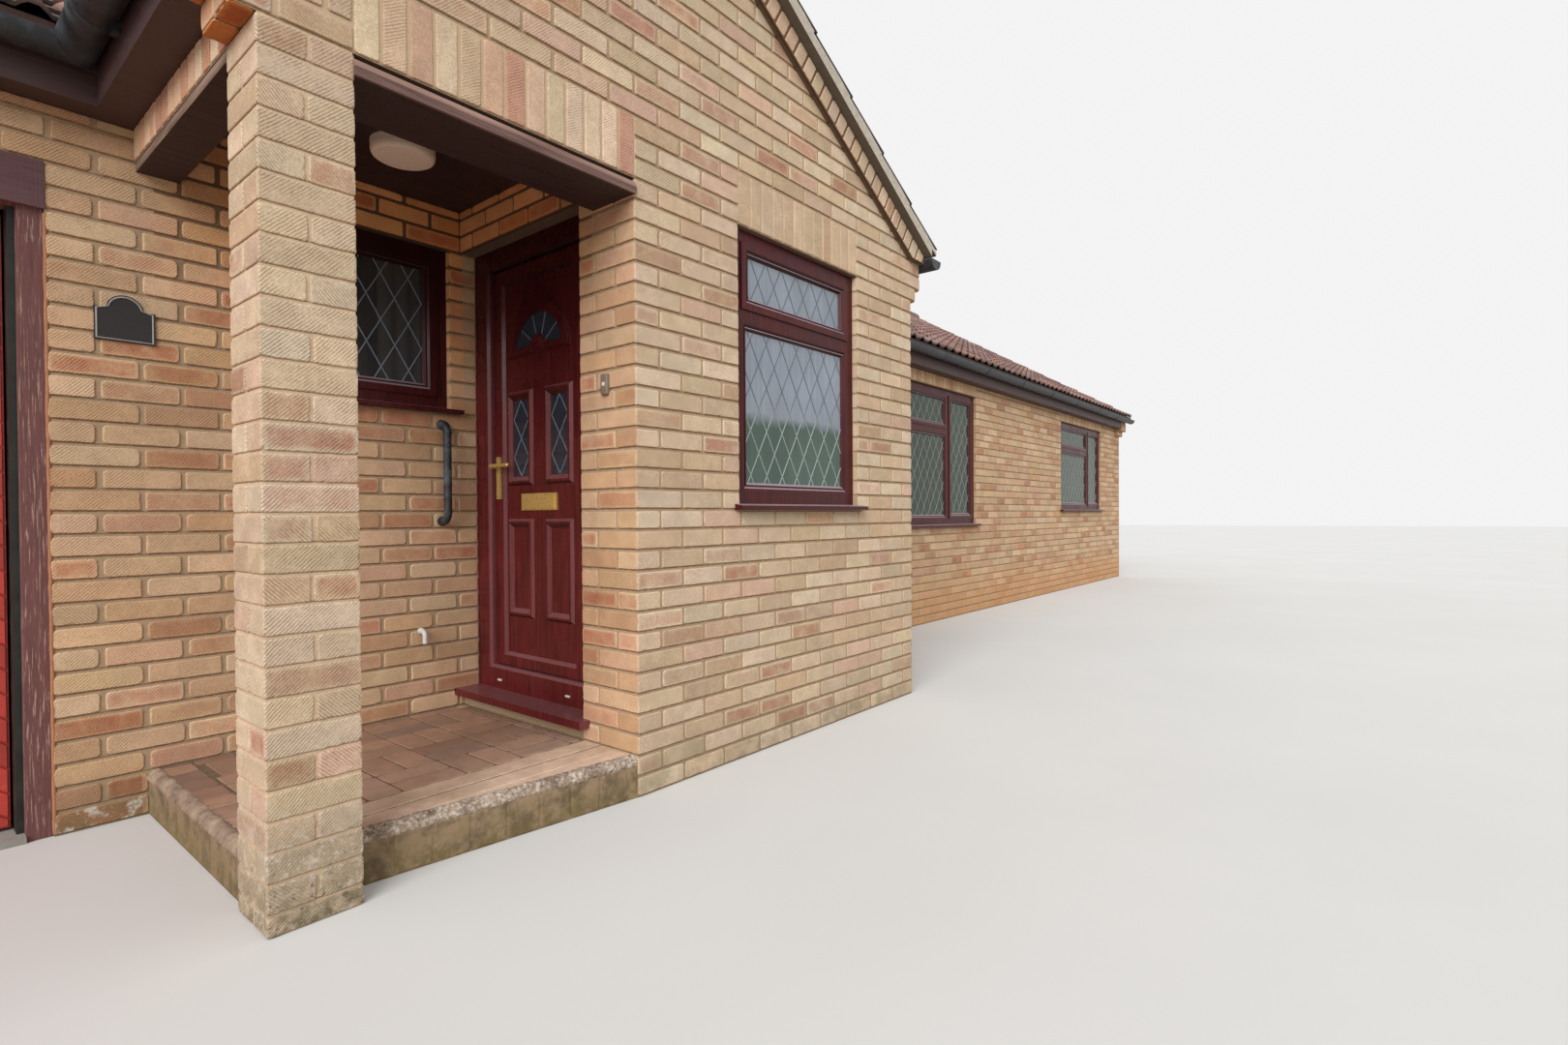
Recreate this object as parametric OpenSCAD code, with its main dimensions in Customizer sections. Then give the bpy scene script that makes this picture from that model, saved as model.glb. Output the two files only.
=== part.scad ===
// Brick bungalow with a projecting front gable, an open corner porch and an attached garage.
// Millimetres. X runs right along the front, Y runs into the house, Z is up from the lowest ground.
// The origin is the middle of the main range's footprint, on the ground.

/* [Main range] */
// Length of the main range along its ridge
range_len = 15187.5; // [14900:12.5:15600]
// Depth of the main range, front wall face to rear wall face
range_depth = 7500; // [7200:25:7900]
// Thickness of the cavity walls
wall_t = 255; // [240:5:300]
// Slope of every roof, in degrees
pitch = 30; // [28:0.5:32]
// Height of the tile surface where it passes over a wall face
tile_z = 2647; // [2620:1:2700]
// Thickness of the roof covering, square to the slope
roof_t = 60; // [50:1:75]
// How far the tiles reach past a wall at the eaves
eaves_out = 165; // [155:1:180]
// How far the tiles reach past a gable at the verge
verge_out = 84; // [78:1:92]
// Level of the floor inside the house
floor_z = 200; // [180:5:215]

/* [Front gable] */
// Distance from the left end of the house to the porch pier
garage_run = 2962; // [2950:1:3050]
// Width of the front gable, pier face to side wall face
gable_w = 3178; // [3150:1:3260]
// How far the front gable stands in front of the main range
gable_out = 1237.5; // [1225:12.5:1300]
// Width of the open porch with its pier
porch_w = 1163; // [1150:1:1180]
// Side of the square porch pier
pier_s = 215; // [205:5:225]
// Level where the gable's upper brickwork starts
head_z = 2250; // [2235:1:2262]
// Height of the band of leaning bricks under the verge, square to the slope
band_h = 102.5; // [95:0.5:110]
// How far that band stands out
band_out = 34; // [28:1:40]
// How far the kneeler corbels reach past the wall
kneeler_out = 106; // [98:1:108]

/* [Porch] */
// Level of the porch floor
porch_z = 150; // [130:5:165]
// Depth of the front lintel
lintel_h = 60; // [50:1:70]
// How far the lintel's fillet stands out
fillet_out = 14; // [10:1:18]
// Height of the fillet's sloped top
fillet_h = 22; // [18:1:26]
// Height and depth of the groove over the fillet
fillet_in = 14; // [12:1:16]
// Thickness of the timber strip under the side brickwork
strip_h = 29; // [24:1:35]
// Radius of the rounded porch nosing
nosing_r = 28; // [20:1:35]
// How far the nosing recedes beside the pier
step_skew = 107; // [90:1:120]
// Level of the porch ceiling
ceiling_z = 2438; // [2400:1:2450]
// Diameter of the round porch lamp
lamp_d = 224; // [210:2:240]
// Height of the round porch lamp
lamp_h = 55; // [48:1:65]

/* [Front door] */
// Width of the doorway
door_w = 910; // [890:5:930]
// Top of the door sill
sill_z = 236; // [226:1:244]
// How far the door frame is set back from the wall face
door_back = 72; // [60:1:90]
// Width of the door frame's jambs
jamb_w = 110; // [100:1:118]
// Height of the door frame's foot above the sill
foot_h = 104; // [96:1:112]
// Height of the door frame's head
head_w = 92; // [84:1:98]
// Thickness of the door leaf
leaf_t = 44; // [40:1:48]
// Running gap around the door leaf
leaf_gap = 5; // [5:0.5:7]
// Width of the leaf's outer members
stile_w = 82; // [76:1:88]

/* [Garage door] */
// Width of the brickwork between the porch and the garage doorway
garage_pier = 225; // [215:5:240]
// Width of the garage door leaf
garage_leaf_w = 2134; // [2100:2:2160]
// Underside of the timber head
garage_head_z = 2024; // [2010:1:2040]
// Height of the timber head
garage_head_h = 150; // [140:1:158]
// Width of the timber jambs
garage_jamb = 63; // [58:1:70]
// Width of the steel posts behind the jambs
post_w = 18; // [16:1:24]
// Thickness of the garage leaf
garage_leaf_t = 40; // [35:1:45]
// Thickness of the brickwork over the garage door
half_brick = 102.5; // [100:0.5:105]

/* [Windows] */
// Width of the window frame members
frame_w = 56; // [50:1:62]
// Depth of the window frames
frame_d = 62; // [56:1:68]
// How far the window frames are set back
frame_back = 30; // [22:1:40]
// Height of the gable window
gable_win_h = 1200; // [1125:25:1250]
// Width of the gable window
gable_win_w = 910; // [880:5:940]
// Distance from the porch corner to the gable window
gable_win_x = 552.5; // [540:2.5:580]
// Width of the two wing windows
wing_win_w = 1810; // [1780:5:1840]
// Height of the first wing window
wing_win_h1 = 1350; // [1275:25:1400]
// Height of the second wing window
wing_win_h2 = 1200; // [1125:25:1250]
// Width of the porch window
porch_win_w = 685; // [670:5:700]
// Height of the porch window
porch_win_h = 750; // [700:10:780]
// Share of a window's height taken by the top vent
vent_share = 0.3; // [0.26:0.01:0.34]

/* [Eaves] */
// Distance from a wall face to the fascia's face
fascia_out = 110; // [108:1:116]
// Bottom of the fascia
fascia_z = 2362; // [2350:1:2372]
// Thickness of the fascia and soffit boards
board_t = 18; // [15:1:22]
// Outside radius of the half-round gutters
gutter_r = 56; // [50:1:60]
// Spacing of the gutter brackets
bracket_pitch = 950; // [900:10:1000]

/* [Grab rail] */
// Length of the upright grab rail, between the centres of its ends
rail_len = 440; // [420:5:460]
// Thickness of the rail's bar
rail_d = 34; // [30:1:38]

/* [Hidden] */
seat = 0.3;
// Footprint of the main range
xl = -range_len / 2;
xr = range_len / 2;
yf = -range_depth / 2;
yb = range_depth / 2;
// Front gable
gx0 = xl + garage_run;
gx1 = gx0 + gable_w;
gxm = (gx0 + gx1) / 2;
cx = gx0 + porch_w;
gy = yf - gable_out;
// Roof planes. The covering's thickness measured upright is drop
slope = tan(pitch);
drop = roof_t / cos(pitch);
under_z = tile_z - drop;
main_apex = tile_z + (range_depth / 2) * slope;
gable_apex = tile_z + (gable_w / 2) * slope;
valley_run = gable_w / 2 + eaves_out;
// Reach of the prisms that cut roofs, walls and gutters: upright, and in plan past a corner
tall = 2 * main_apex;
far = eaves_out + 350;
// Garage doorway
go_x1 = gx0 - garage_pier;
post_gap = 6;
go_x0 = go_x1 - garage_leaf_w - 2 * (garage_jamb + post_w + post_gap);
garage_floor_z = 20;
frame_front = 12;
jamb_deep = 100;
leaf_front = frame_front + jamb_deep + 8;
bar_r = 15;
bar_y = leaf_front + garage_leaf_t + 15 + bar_r;
garage_leaf_h = garage_head_z - 44;
garage_leaf_z0 = 30;
bar_z = garage_leaf_z0 + garage_leaf_h / 2;
// Front door
door_y1 = yf;
door_y0 = yf - door_w;
frame_x = cx + door_back;
frame_deep = 70;
leaf_x = frame_x + frame_deep - leaf_t;
leaf_y0 = door_y0 + jamb_w + leaf_gap;
hinge_r = 7;
hinge_x = frame_x + frame_deep + 8;
hinge_y = leaf_y0 - leaf_gap / 2;
hinge_h = 100;
hinge_levels = [180, 860, 1530];
leaf_y1 = door_y1 - jamb_w - leaf_gap;
leaf_z0 = sill_z + foot_h + leaf_gap;
leaf_z1 = head_z - head_w - leaf_gap;
leaf_w = leaf_y1 - leaf_y0;
leaf_h = leaf_z1 - leaf_z0;
sill_t = 31;
sill_out = 50;
sill_end = 42;
// The leaf's moulded panel, set back in its outer members
panel_back = 14;
panel_t = 26;
bead_t = 12;
rail_foot = 60;
rail_head = 72;
// Fan light: centre over the leaf's foot, its bead, its glass and the hub
fan_y = 1402;
fan_r = 237;
fan_bead = 54;
fan_foot = 38;
hub_r = 62;
hub_in = 28;
// Tall lights and lower panels: inner and outer edge from the middle of the leaf, foot and height
side_in = 45;
side_out = 248;
tall_y = 822;
tall_h = 430;
low_y = 225;
low_h = 448;
bead_w = 44;
// Glazing
glass_t = 20;
glass_back = 14;
vent_y = 8;
cw = 42;
lap = 6;
bevel = 12;
sill_h = 26;
sill_proj = 46;
sill_horn = 30;
porch_horn = 44;
// Wing windows: distances from the gable's side wall and from the right end
wing_x1 = gx1 + 1812;
wing_x2 = xr - 970 - wing_win_w;
porch_win_x = cx - 55 - porch_win_w;
rear_win_x = -wing_win_w / 2;
mullion_share = 0.667;
// Corbel courses under each kneeler, and the thickness of the tiles beyond the fascia
corbel_1 = head_z + 75;
corbel_2 = head_z + 225;
corbel_out = kneeler_out / 2;
tail_t = 26;
// Grab rail: place of its lower end, distance from the wall and bend
rail_x = cx - 101;
rail_z = 1008;
rail_off = 60;
rail_bend = 40;
// Colours
brick = [0.72, 0.58, 0.42];
brown = [0.20, 0.10, 0.09];
tile = [0.36, 0.22, 0.17];
black = [0.08, 0.08, 0.09];
clear = [0.62, 0.70, 0.72, 0.6];
red = [0.60, 0.11, 0.10];
gold = [0.78, 0.58, 0.24];

// Extrudes an outline drawn in Y and Z along X, from x0 over a length.
module along_x(x0, len) {
  translate([x0, 0, 0])
    rotate([90, 0, 90])
      linear_extrude(height = len)
        children();
}

// Extrudes an outline drawn in X and Z along Y, from y0 over a length.
module along_y(y0, len) {
  translate([0, y0 + len, 0])
    rotate([90, 0, 0])
      linear_extrude(height = len)
        children();
}

module box(x0, x1, y0, y1, z0, z1) {
  translate([x0, y0, z0])
    cube([x1 - x0, y1 - y0, z1 - z0]);
}

// A block whose four sides lean in by b on the way from z0 to z1.
module splay(x0, x1, y0, y1, z0, z1, b) {
  intersection() {
    along_x(x0 - b, x1 - x0 + 2 * b)
      polygon([[y0 - b, z0], [y1 + b, z0], [y1, z1], [y0, z1]]);
    along_y(y0 - b, y1 - y0 + 2 * b)
      polygon([[x0 - b, z0], [x1 + b, z0], [x1, z1], [x0, z1]]);
  }
}

// A mitred frame of members m wide with a splayed inner edge at its front, in width, height and depth.
module splayed_ring(x0, x1, y0, y1, m, z0, z1, b) {
  difference() {
    box(x0, x1, y0, y1, z0, z1);
    box(x0 + m, x1 - m, y0 + m, y1 - m, z0 - 1, z1 + 1);
    splay(x0 + m, x1 - m, y0 + m, y1 - m, z0 - 1, z0 + b, b);
  }
}

// A wall under an eaves, its top cut to the roof's slope. Drawn in run and height.
module eaves_profile(t) {
  polygon([[0, 0], [t, 0], [t, under_z + t * slope], [0, under_z]]);
}

// The five-sided end wall with its corbels and kneelers, in run and height.
module gable_outline(half, low, high) {
  k = kneeler_out;
  polygon([
    [-half, low],
    [half, low],
    [half, head_z],
    [half + corbel_out, head_z],
    [half + corbel_out, corbel_1],
    [half + k, corbel_1],
    [half + k, high - (half + k) * slope],
    [0, high],
    [-half - k, high - (half + k) * slope],
    [-half - k, corbel_1],
    [-half - corbel_out, corbel_1],
    [-half - corbel_out, head_z],
    [-half, head_z]
  ]);
}

// The raised band of leaning bricks that follows both slopes, in run and height.
module band_outline(half, high) {
  b = band_h / cos(pitch);
  e = half + kneeler_out;
  polygon([
    [-e, high - e * slope],
    [0, high],
    [e, high - e * slope],
    [e, corbel_2],
    [(high - b - corbel_2) / slope, corbel_2],
    [0, high - b],
    [-(high - b - corbel_2) / slope, corbel_2],
    [-e, corbel_2]
  ]);
}

module floor_slab() {
  color([0.6, 0.6, 0.58]) {
    box(gx0 + seat, xr - wall_t - seat, yf + wall_t + seat, yb - wall_t - seat, 0, floor_z);
    box(cx + wall_t + seat, gx1 - wall_t - seat, gy + wall_t + seat, yf + wall_t + 1, 0, floor_z);
    box(xl + wall_t + seat, gx0 + 1, yf + wall_t + seat, yb - wall_t - seat, 0, garage_floor_z);
    box(go_x0 + seat, go_x1 - seat, yf + frame_front + jamb_deep + seat, yf + wall_t + 1, 0, garage_floor_z);
    box(go_x0 + garage_jamb + seat, go_x1 - garage_jamb - seat, yf, yf + wall_t, 0, garage_floor_z);
  }
}

module porch_outline() {
  polygon([
    [gx0 + 13, yf - seat],
    [gx0 + 13, gy + pier_s + seat],
    [gx0 + pier_s + seat, gy + pier_s + seat],
    [gx0 + pier_s + seat, gy + step_skew],
    [cx - seat, gy + 4],
    [cx - seat, yf - seat]
  ]);
}

module porch_floor() {
  run = porch_w - pier_s - 2 * seat;
  turn = atan2(4 - step_skew, run);
  color([0.50, 0.36, 0.30]) {
    difference() {
      linear_extrude(height = porch_z)
        porch_outline();
      translate([gx0 + pier_s + seat, gy + step_skew, porch_z - nosing_r])
        rotate([0, 0, turn])
          translate([-60, -1, 0])
            cube([run + 200, nosing_r + 1, nosing_r + 1]);
      translate([gx0 + 13 - 1, gy + pier_s, porch_z - nosing_r])
        cube([nosing_r + 1, gable_out, nosing_r + 1]);
    }
    intersection() {
      linear_extrude(height = porch_z)
        porch_outline();
      union() {
        translate([gx0 + pier_s + seat, gy + step_skew, porch_z - nosing_r])
          rotate([0, 0, turn])
            translate([-60, nosing_r, 0])
              rotate([0, 90, 0])
                cylinder(r = nosing_r, h = run + 200, $fn = 48);
        translate([gx0 + 13 + nosing_r, gy + pier_s, porch_z - nosing_r])
          rotate([-90, 0, 0])
            cylinder(r = nosing_r, h = gable_out, $fn = 48);
      }
    }
  }
}

module left_end_wall() {
  color(brick) {
    along_x(xl, wall_t)
      gable_outline(range_depth / 2, 0, main_apex - drop);
    along_x(xl - band_out, band_out + 1)
      band_outline(range_depth / 2, main_apex - drop);
    along_x(xl + wall_t - 1, go_x0 - xl - wall_t + 1)
      translate([yf, 0])
        eaves_profile(wall_t);
  }
}

module garage_wall_over() {
  over_z = garage_head_z + garage_head_h;
  color(brick)
    intersection() {
      box(go_x0 + seat, go_x1 - seat, yf, yf + half_brick, over_z + seat, tall);
      along_x(go_x0, go_x1 - go_x0)
        translate([yf, 0])
          eaves_profile(wall_t);
    }
}

module porch_back_wall() {
  color(brick)
    difference() {
      union() {
        along_x(go_x1, gx0 + half_brick - go_x1)
          translate([yf, 0])
            eaves_profile(wall_t);
        box(gx0 + half_brick - 1, cx + wall_t, yf, yf + wall_t, 0, under_z);
      }
      box(porch_win_x, porch_win_x + porch_win_w, yf - 1, yf + wall_t + 1, head_z - porch_win_h, head_z);
    }
}

module door_wall_over() {
  color(brick)
    box(cx, cx + wall_t, door_y0 + seat, yf - seat, head_z + seat, under_z);
}

module gable_front_wall() {
  win_x = cx + gable_win_x;
  win_z = head_z - gable_win_h;
  color(brick) {
    difference() {
      box(cx, gx1, gy, gy + wall_t, 0, head_z);
      box(win_x, win_x + gable_win_w, gy - 1, gy + wall_t + 1, win_z, head_z + 1);
    }
    box(cx, cx + wall_t, gy + wall_t - 1, door_y0, 0, head_z);
    box(cx, cx + wall_t, door_y0 - 1, yf - seat, 0, sill_z - sill_t - seat);
  }
}

module gable_top() {
  color(brick) {
    along_y(gy, pier_s)
      translate([gxm, 0])
        gable_outline(gable_w / 2, head_z + seat, gable_apex - drop);
    along_y(gy - band_out, band_out + 1)
      translate([gxm, 0])
        band_outline(gable_w / 2, gable_apex - drop);
    box(cx, cx + wall_t, gy + pier_s - 1, door_y0 - seat, head_z + seat, under_z);
  }
}

module gable_side_wall() {
  color(brick)
    along_y(gy + wall_t + seat, gable_out - wall_t - 2 * seat)
      translate([gx1, 0])
        mirror([1, 0])
          eaves_profile(wall_t);
}

module wing_wall() {
  z1 = head_z - wing_win_h1;
  z2 = head_z - wing_win_h2;
  color(brick)
    difference() {
      along_x(gx1 - wall_t, xr - wall_t - seat - gx1 + wall_t)
        translate([yf, 0])
          eaves_profile(wall_t);
      box(wing_x1, wing_x1 + wing_win_w, yf - 1, yf + wall_t + 1, z1, head_z);
      box(wing_x2, wing_x2 + wing_win_w, yf - 1, yf + wall_t + 1, z2, head_z);
    }
}

module right_end_wall() {
  color(brick) {
    along_x(xr - wall_t, wall_t)
      gable_outline(range_depth / 2, 0, main_apex - drop);
    along_x(xr - 1, band_out + 1)
      band_outline(range_depth / 2, main_apex - drop);
  }
}

module rear_wall() {
  color(brick)
    difference() {
      along_x(xl + wall_t + seat, range_len - 2 * wall_t - 2 * seat)
        translate([yb, 0])
          mirror([1, 0])
            eaves_profile(wall_t);
      box(rear_win_x, rear_win_x + wing_win_w, yb - wall_t - 1, yb + 1, head_z - wing_win_h2, head_z);
    }
}

module porch_side_wall() {
  color(brick)
    along_y(gy + pier_s + seat, gable_out - pier_s - 2 * seat)
      translate([gx0, head_z])
        polygon([
          [0, seat],
          [half_brick, seat],
          [half_brick, under_z - head_z + half_brick * slope],
          [0, under_z - head_z]
        ]);
}

module porch_pier() {
  color(brick)
    box(gx0, gx0 + pier_s, gy, gy + pier_s, 0, head_z);
}

module porch_timbers() {
  color(brown) {
    // Front lintel with its weathered fillet and the groove above it
    along_x(gx0 + pier_s + seat, porch_w - pier_s - 2 * seat)
      polygon([
        [gy + pier_s, head_z - lintel_h],
        [gy - fillet_out, head_z - lintel_h],
        [gy - fillet_out, head_z - fillet_in - fillet_h],
        [gy - 2, head_z - fillet_in],
        [gy + fillet_in, head_z - fillet_in],
        [gy + fillet_in, head_z],
        [gy + pier_s, head_z]
      ]);
    box(gx0 + 2, gx0 + half_brick, gy + pier_s + seat, yf - seat, head_z - strip_h, head_z);
    box(gx0 + half_brick + seat, cx - seat, gy + pier_s + seat, yf - seat, ceiling_z, ceiling_z + 12);
    box(gx0 + half_brick + seat, gx0 + half_brick + 20, gy + pier_s + seat, yf - seat, head_z - strip_h, ceiling_z + 1);
    box(gx0 + half_brick - 1, gx0 + half_brick + 20, gy + pier_s + seat, yf - seat, head_z - strip_h, head_z - 1);
    box(gx0 + half_brick + seat, cx - seat, gy + pier_s + seat, gy + pier_s + 20, head_z - lintel_h, ceiling_z + 1);
    box(gx0 + pier_s + seat, cx - seat, gy + pier_s - 1, gy + pier_s + 20, head_z - lintel_h, head_z - 1);
  }
}

// Fascia and soffit in run (outwards positive) and height.
module boards_outline() {
  f = fascia_out;
  top = tile_z - drop - f * slope - seat;
  polygon([
    [seat, fascia_z],
    [f, fascia_z],
    [f, top],
    [f - board_t, top],
    [f - board_t, fascia_z + board_t],
    [seat, fascia_z + board_t]
  ]);
}

module eaves_boards_left() {
  color(brown) {
    intersection() {
      along_x(xl + wall_t + seat, gx0 - xl - wall_t - 2 * seat)
        translate([yf, 0])
          mirror([1, 0])
            boards_outline();
      linear_extrude(height = tall)
        polygon([[xl, yf + far], [xl, yf - far], [gx0 - far, yf - far], [gx0, yf], [gx0, yf + far]]);
    }
    intersection() {
      along_y(gy + pier_s + seat, gable_out - pier_s - 2 * seat)
        translate([gx0, 0])
          mirror([1, 0])
            boards_outline();
      linear_extrude(height = tall)
        polygon([[gx0 + 100, gy], [gx0 - far, gy], [gx0 - far, yf - far], [gx0, yf], [gx0 + 100, yf]]);
    }
  }
}

module eaves_boards_right() {
  color(brown) {
    intersection() {
      along_x(gx1 + seat, xr - wall_t - gx1 - 2 * seat)
        translate([yf, 0])
          mirror([1, 0])
            boards_outline();
      linear_extrude(height = tall)
        polygon([[xr, yf + far], [xr, yf - far], [gx1 + far, yf - far], [gx1, yf], [gx1, yf + far]]);
    }
    intersection() {
      along_y(gy + pier_s + seat, gable_out - pier_s - 2 * seat)
        translate([gx1, 0])
          boards_outline();
      linear_extrude(height = tall)
        polygon([[gx1 - 100, gy], [gx1 + far, gy], [gx1 + far, yf - far], [gx1, yf], [gx1 - 100, yf]]);
    }
  }
}

module eaves_boards_rear() {
  color(brown)
    along_x(xl + wall_t + seat, range_len - 2 * wall_t - 2 * seat)
      translate([yb, 0])
        boards_outline();
}

// Half-round gutter in run and height, centred on the origin.
module gutter_outline() {
  difference() {
    circle(r = gutter_r, $fn = 40);
    circle(r = gutter_r - 4, $fn = 40);
    translate([-100, 0])
      square([200, 100]);
  }
}

// A bracket's ring with the plate that screws to the fascia, which is at run = -gutter_r - 2.
module bracket_outline() {
  difference() {
    union() {
      circle(r = gutter_r + 4, $fn = 40);
      translate([-gutter_r - 2, -gutter_r + 6])
        square([20, gutter_r]);
    }
    circle(r = gutter_r - 2, $fn = 40);
    translate([-gutter_r + 8, 0])
      square([200, 100]);
    translate([-2 * gutter_r, 6])
      square([4 * gutter_r, 2 * gutter_r]);
    translate([-3 * gutter_r - 2 + seat, -2 * gutter_r])
      square([2 * gutter_r, 4 * gutter_r]);
  }
}

gutter_run = fascia_out + gutter_r + 2;
gutter_z = under_z - fascia_out * slope - 9;

// A straight run of gutter with its stop ends. Its brackets are counted back from x1, the first one after
// back, and keep clear of the kneeler at x0.
module gutter_x(x0, x1, back) {
  along_x(x0, x1 - x0)
    gutter_outline();
  for (x = [x0, x1 - 4])
    along_x(x, 4)
      difference() {
        circle(r = gutter_r, $fn = 40);
        translate([-100, 0])
          square([200, 100]);
      }
  for (x = [x1 - back : -bracket_pitch : x0 + 345])
    along_x(x, 40)
      bracket_outline();
}

module gutter_left() {
  color(black) {
    intersection() {
      translate([0, yf - gutter_run, gutter_z])
        mirror([0, 1, 0])
          gutter_x(xl - verge_out + 2, gx0 - gutter_run + 200, 560);
      linear_extrude(height = tall)
        polygon([
          [xl - far, yf + far],
          [xl - far, yf - far],
          [gx0 - far, yf - far],
          [gx0 + 100, yf + 100],
          [gx0 + 100, yf + far]
        ]);
    }
    intersection() {
      translate([gx0 - gutter_run, gy - verge_out + 2, gutter_z])
        rotate([0, 0, 90])
          gutter_x(0, gable_out + verge_out + 100, 560);
      linear_extrude(height = tall)
        polygon([
          [gx0 + far, gy - far],
          [gx0 - far, gy - far],
          [gx0 - far, yf - far],
          [gx0 + far, yf + far]
        ]);
    }
  }
}

module gutter_right() {
  color(black) {
    intersection() {
      translate([0, yf - gutter_run, gutter_z])
        mirror([0, 1, 0])
          gutter_x(gx1 + gutter_run - 200, xr + verge_out - 2, 905);
      linear_extrude(height = tall)
        polygon([
          [xr + far, yf + far],
          [xr + far, yf - far],
          [gx1 + far, yf - far],
          [gx1 - 100, yf + 100],
          [gx1 - 100, yf + far]
        ]);
    }
    intersection() {
      translate([gx1 + gutter_run, gy - verge_out + 2, gutter_z])
        rotate([0, 0, 90])
          mirror([0, 1, 0])
            gutter_x(0, gable_out + verge_out + 100, 560);
      linear_extrude(height = tall)
        polygon([
          [gx1 - far, gy - far],
          [gx1 + far, gy - far],
          [gx1 + far, yf - far],
          [gx1 - far, yf + far]
        ]);
    }
  }
}

module gutter_rear() {
  color(black)
    translate([0, yb + gutter_run, gutter_z])
      gutter_x(xl - verge_out + 2, xr + verge_out - 2, 905);
}

// One roof slope in run from the ridge and height. Beyond the fascia only the tiles go on.
module slope_outline(half, apex) {
  e = half + eaves_out;
  f = half + fascia_out + 3;
  polygon([
    [0, apex - drop],
    [0, apex],
    [e, apex - e * slope],
    [e, apex - e * slope - tail_t],
    [f, apex - f * slope - tail_t],
    [f, apex - f * slope - drop]
  ]);
}

// Plan of the front gable's roof: its porch part and the triangle that runs up into the main slope.
module gable_plan() {
  polygon([
    [gx0 - eaves_out, gy - verge_out],
    [gx1 + eaves_out, gy - verge_out],
    [gx1 + eaves_out, yf - eaves_out],
    [gxm, yf - eaves_out + valley_run],
    [gx0 - eaves_out, yf - eaves_out]
  ]);
}

module main_roof_front() {
  color(tile)
    difference() {
      along_x(xl - verge_out, range_len + 2 * verge_out)
        mirror([1, 0])
          slope_outline(range_depth / 2, main_apex);
      linear_extrude(height = tall)
        gable_plan();
    }
}

module main_roof_rear() {
  color(tile)
    along_x(xl - verge_out, range_len + 2 * verge_out)
      slope_outline(range_depth / 2, main_apex);
}

module gable_roof() {
  color(tile)
    intersection() {
      along_y(gy - verge_out, gable_out + verge_out + valley_run)
        translate([gxm, 0])
          union() {
            slope_outline(gable_w / 2, gable_apex);
            mirror([1, 0])
              slope_outline(gable_w / 2, gable_apex);
          }
      linear_extrude(height = tall)
        gable_plan();
    }
}

// Half-round ridge tiles, bedded on the two slopes.
module ridge_outline() {
  difference() {
    circle(r = 125, $fn = 48);
    circle(r = 107, $fn = 48);
    polygon([[0, 0], [400, -400 * slope], [400, -600], [-400, -600], [-400, -400 * slope]]);
  }
}

module ridge_tiles() {
  lift = 24;
  color(tile) {
    along_x(xl - verge_out, range_len + 2 * verge_out)
      translate([0, main_apex - lift])
        difference() {
          ridge_outline();
          polygon([[0, lift + seat], [400, lift - 400 * slope + seat], [400, -600], [-400, -600], [-400, lift - 400 * slope + seat]]);
        }
    difference() {
      along_y(gy - verge_out, gable_out + verge_out + valley_run)
        translate([gxm, gable_apex - lift])
          difference() {
            ridge_outline();
            polygon([[0, lift + seat], [400, lift - 400 * slope + seat], [400, -600], [-400, -600], [-400, lift - 400 * slope + seat]]);
          }
      along_x(gxm - 1000, 2000)
        polygon([
          [0, main_apex + seat],
          [yf - 500, main_apex + seat + (yf - 500) * slope],
          [yf - 500, 0],
          [0, 0]
        ]);
    }
  }
}

// Middle of a window's mullion. Without one the lights reach the outer ring.
function mullion_x(w, mullion) = mullion ? w * mullion_share : w - frame_w / 2;

// The lights of a window: left, right, foot and head of each ring, its member's width and its front's depth.
function lights(w, h, mullion, transom) =
  let (
    half = frame_w / 2,
    edge = frame_w - lap,
    mx = mullion_x(w, mullion),
    ty = h * (1 - vent_share),
    low = sill_h + edge
  )
    concat(
      transom ? [
        [edge, mx - half + lap, ty + half - lap, h - edge, cw, frame_back - vent_y],
        [edge, mx - half + lap, low, ty - half + lap, cw - 14, frame_back - 1]
      ] : [],
      mullion || !transom ? [
        [mullion ? mx + half - lap : edge, w - edge, low, h - edge, cw, frame_back - vent_y]
      ] : []
    );

// A window frame in its opening, with splayed and mitred members: outer ring, mullion, transom and
// the rings of its lights. Drawn in width, height and depth, then stood up in the wall.
module window_frame(w, h, mullion, transom, horn) {
  z0 = frame_back;
  z1 = frame_back + frame_d;
  ty = h * (1 - vent_share);
  mx = mullion_x(w, mullion);
  half = frame_w / 2;
  mirror([0, 1, 0])
    rotate([90, 0, 0]) {
      // Sill with its sloped nose and horns
      along_x(-horn, w + 2 * horn)
        polygon([[0, -seat], [0, -sill_proj], [sill_h - 8, -sill_proj], [sill_h, -seat]]);
      box(seat, w - seat, seat, sill_h, -seat - 1, z1);
      splayed_ring(seat, w - seat, sill_h - 1, h - seat, frame_w, z0, z1, lap);
      if (mullion)
        box(mx - half, mx + half, sill_h + 1, h - 1, z0, z1);
      if (transom)
        box(1, mx, ty - half, ty + half, z0, z1);
      for (l = lights(w, h, mullion, transom))
        splayed_ring(l[0], l[1], l[2], l[3], l[4], l[5], z1 - vent_y, bevel);
    }
}

// The sealed glass units of a window, each set in the ring of its light.
module glazing(w, h, mullion, transom) {
  for (l = lights(w, h, mullion, transom)) {
    m = l[4] + seat;
    box(l[0] + m, l[1] - m, frame_back + glass_back, frame_back + glass_back + glass_t, l[2] + m, l[3] - m);
  }
}

module at_gable_window() {
  translate([cx + gable_win_x, gy, head_z - gable_win_h])
    children();
}

module at_porch_window() {
  translate([porch_win_x, yf, head_z - porch_win_h])
    children();
}

module porch_window() {
  color(brown)
    at_porch_window()
      window_frame(porch_win_w, porch_win_h, false, false, porch_horn);
}

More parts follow.
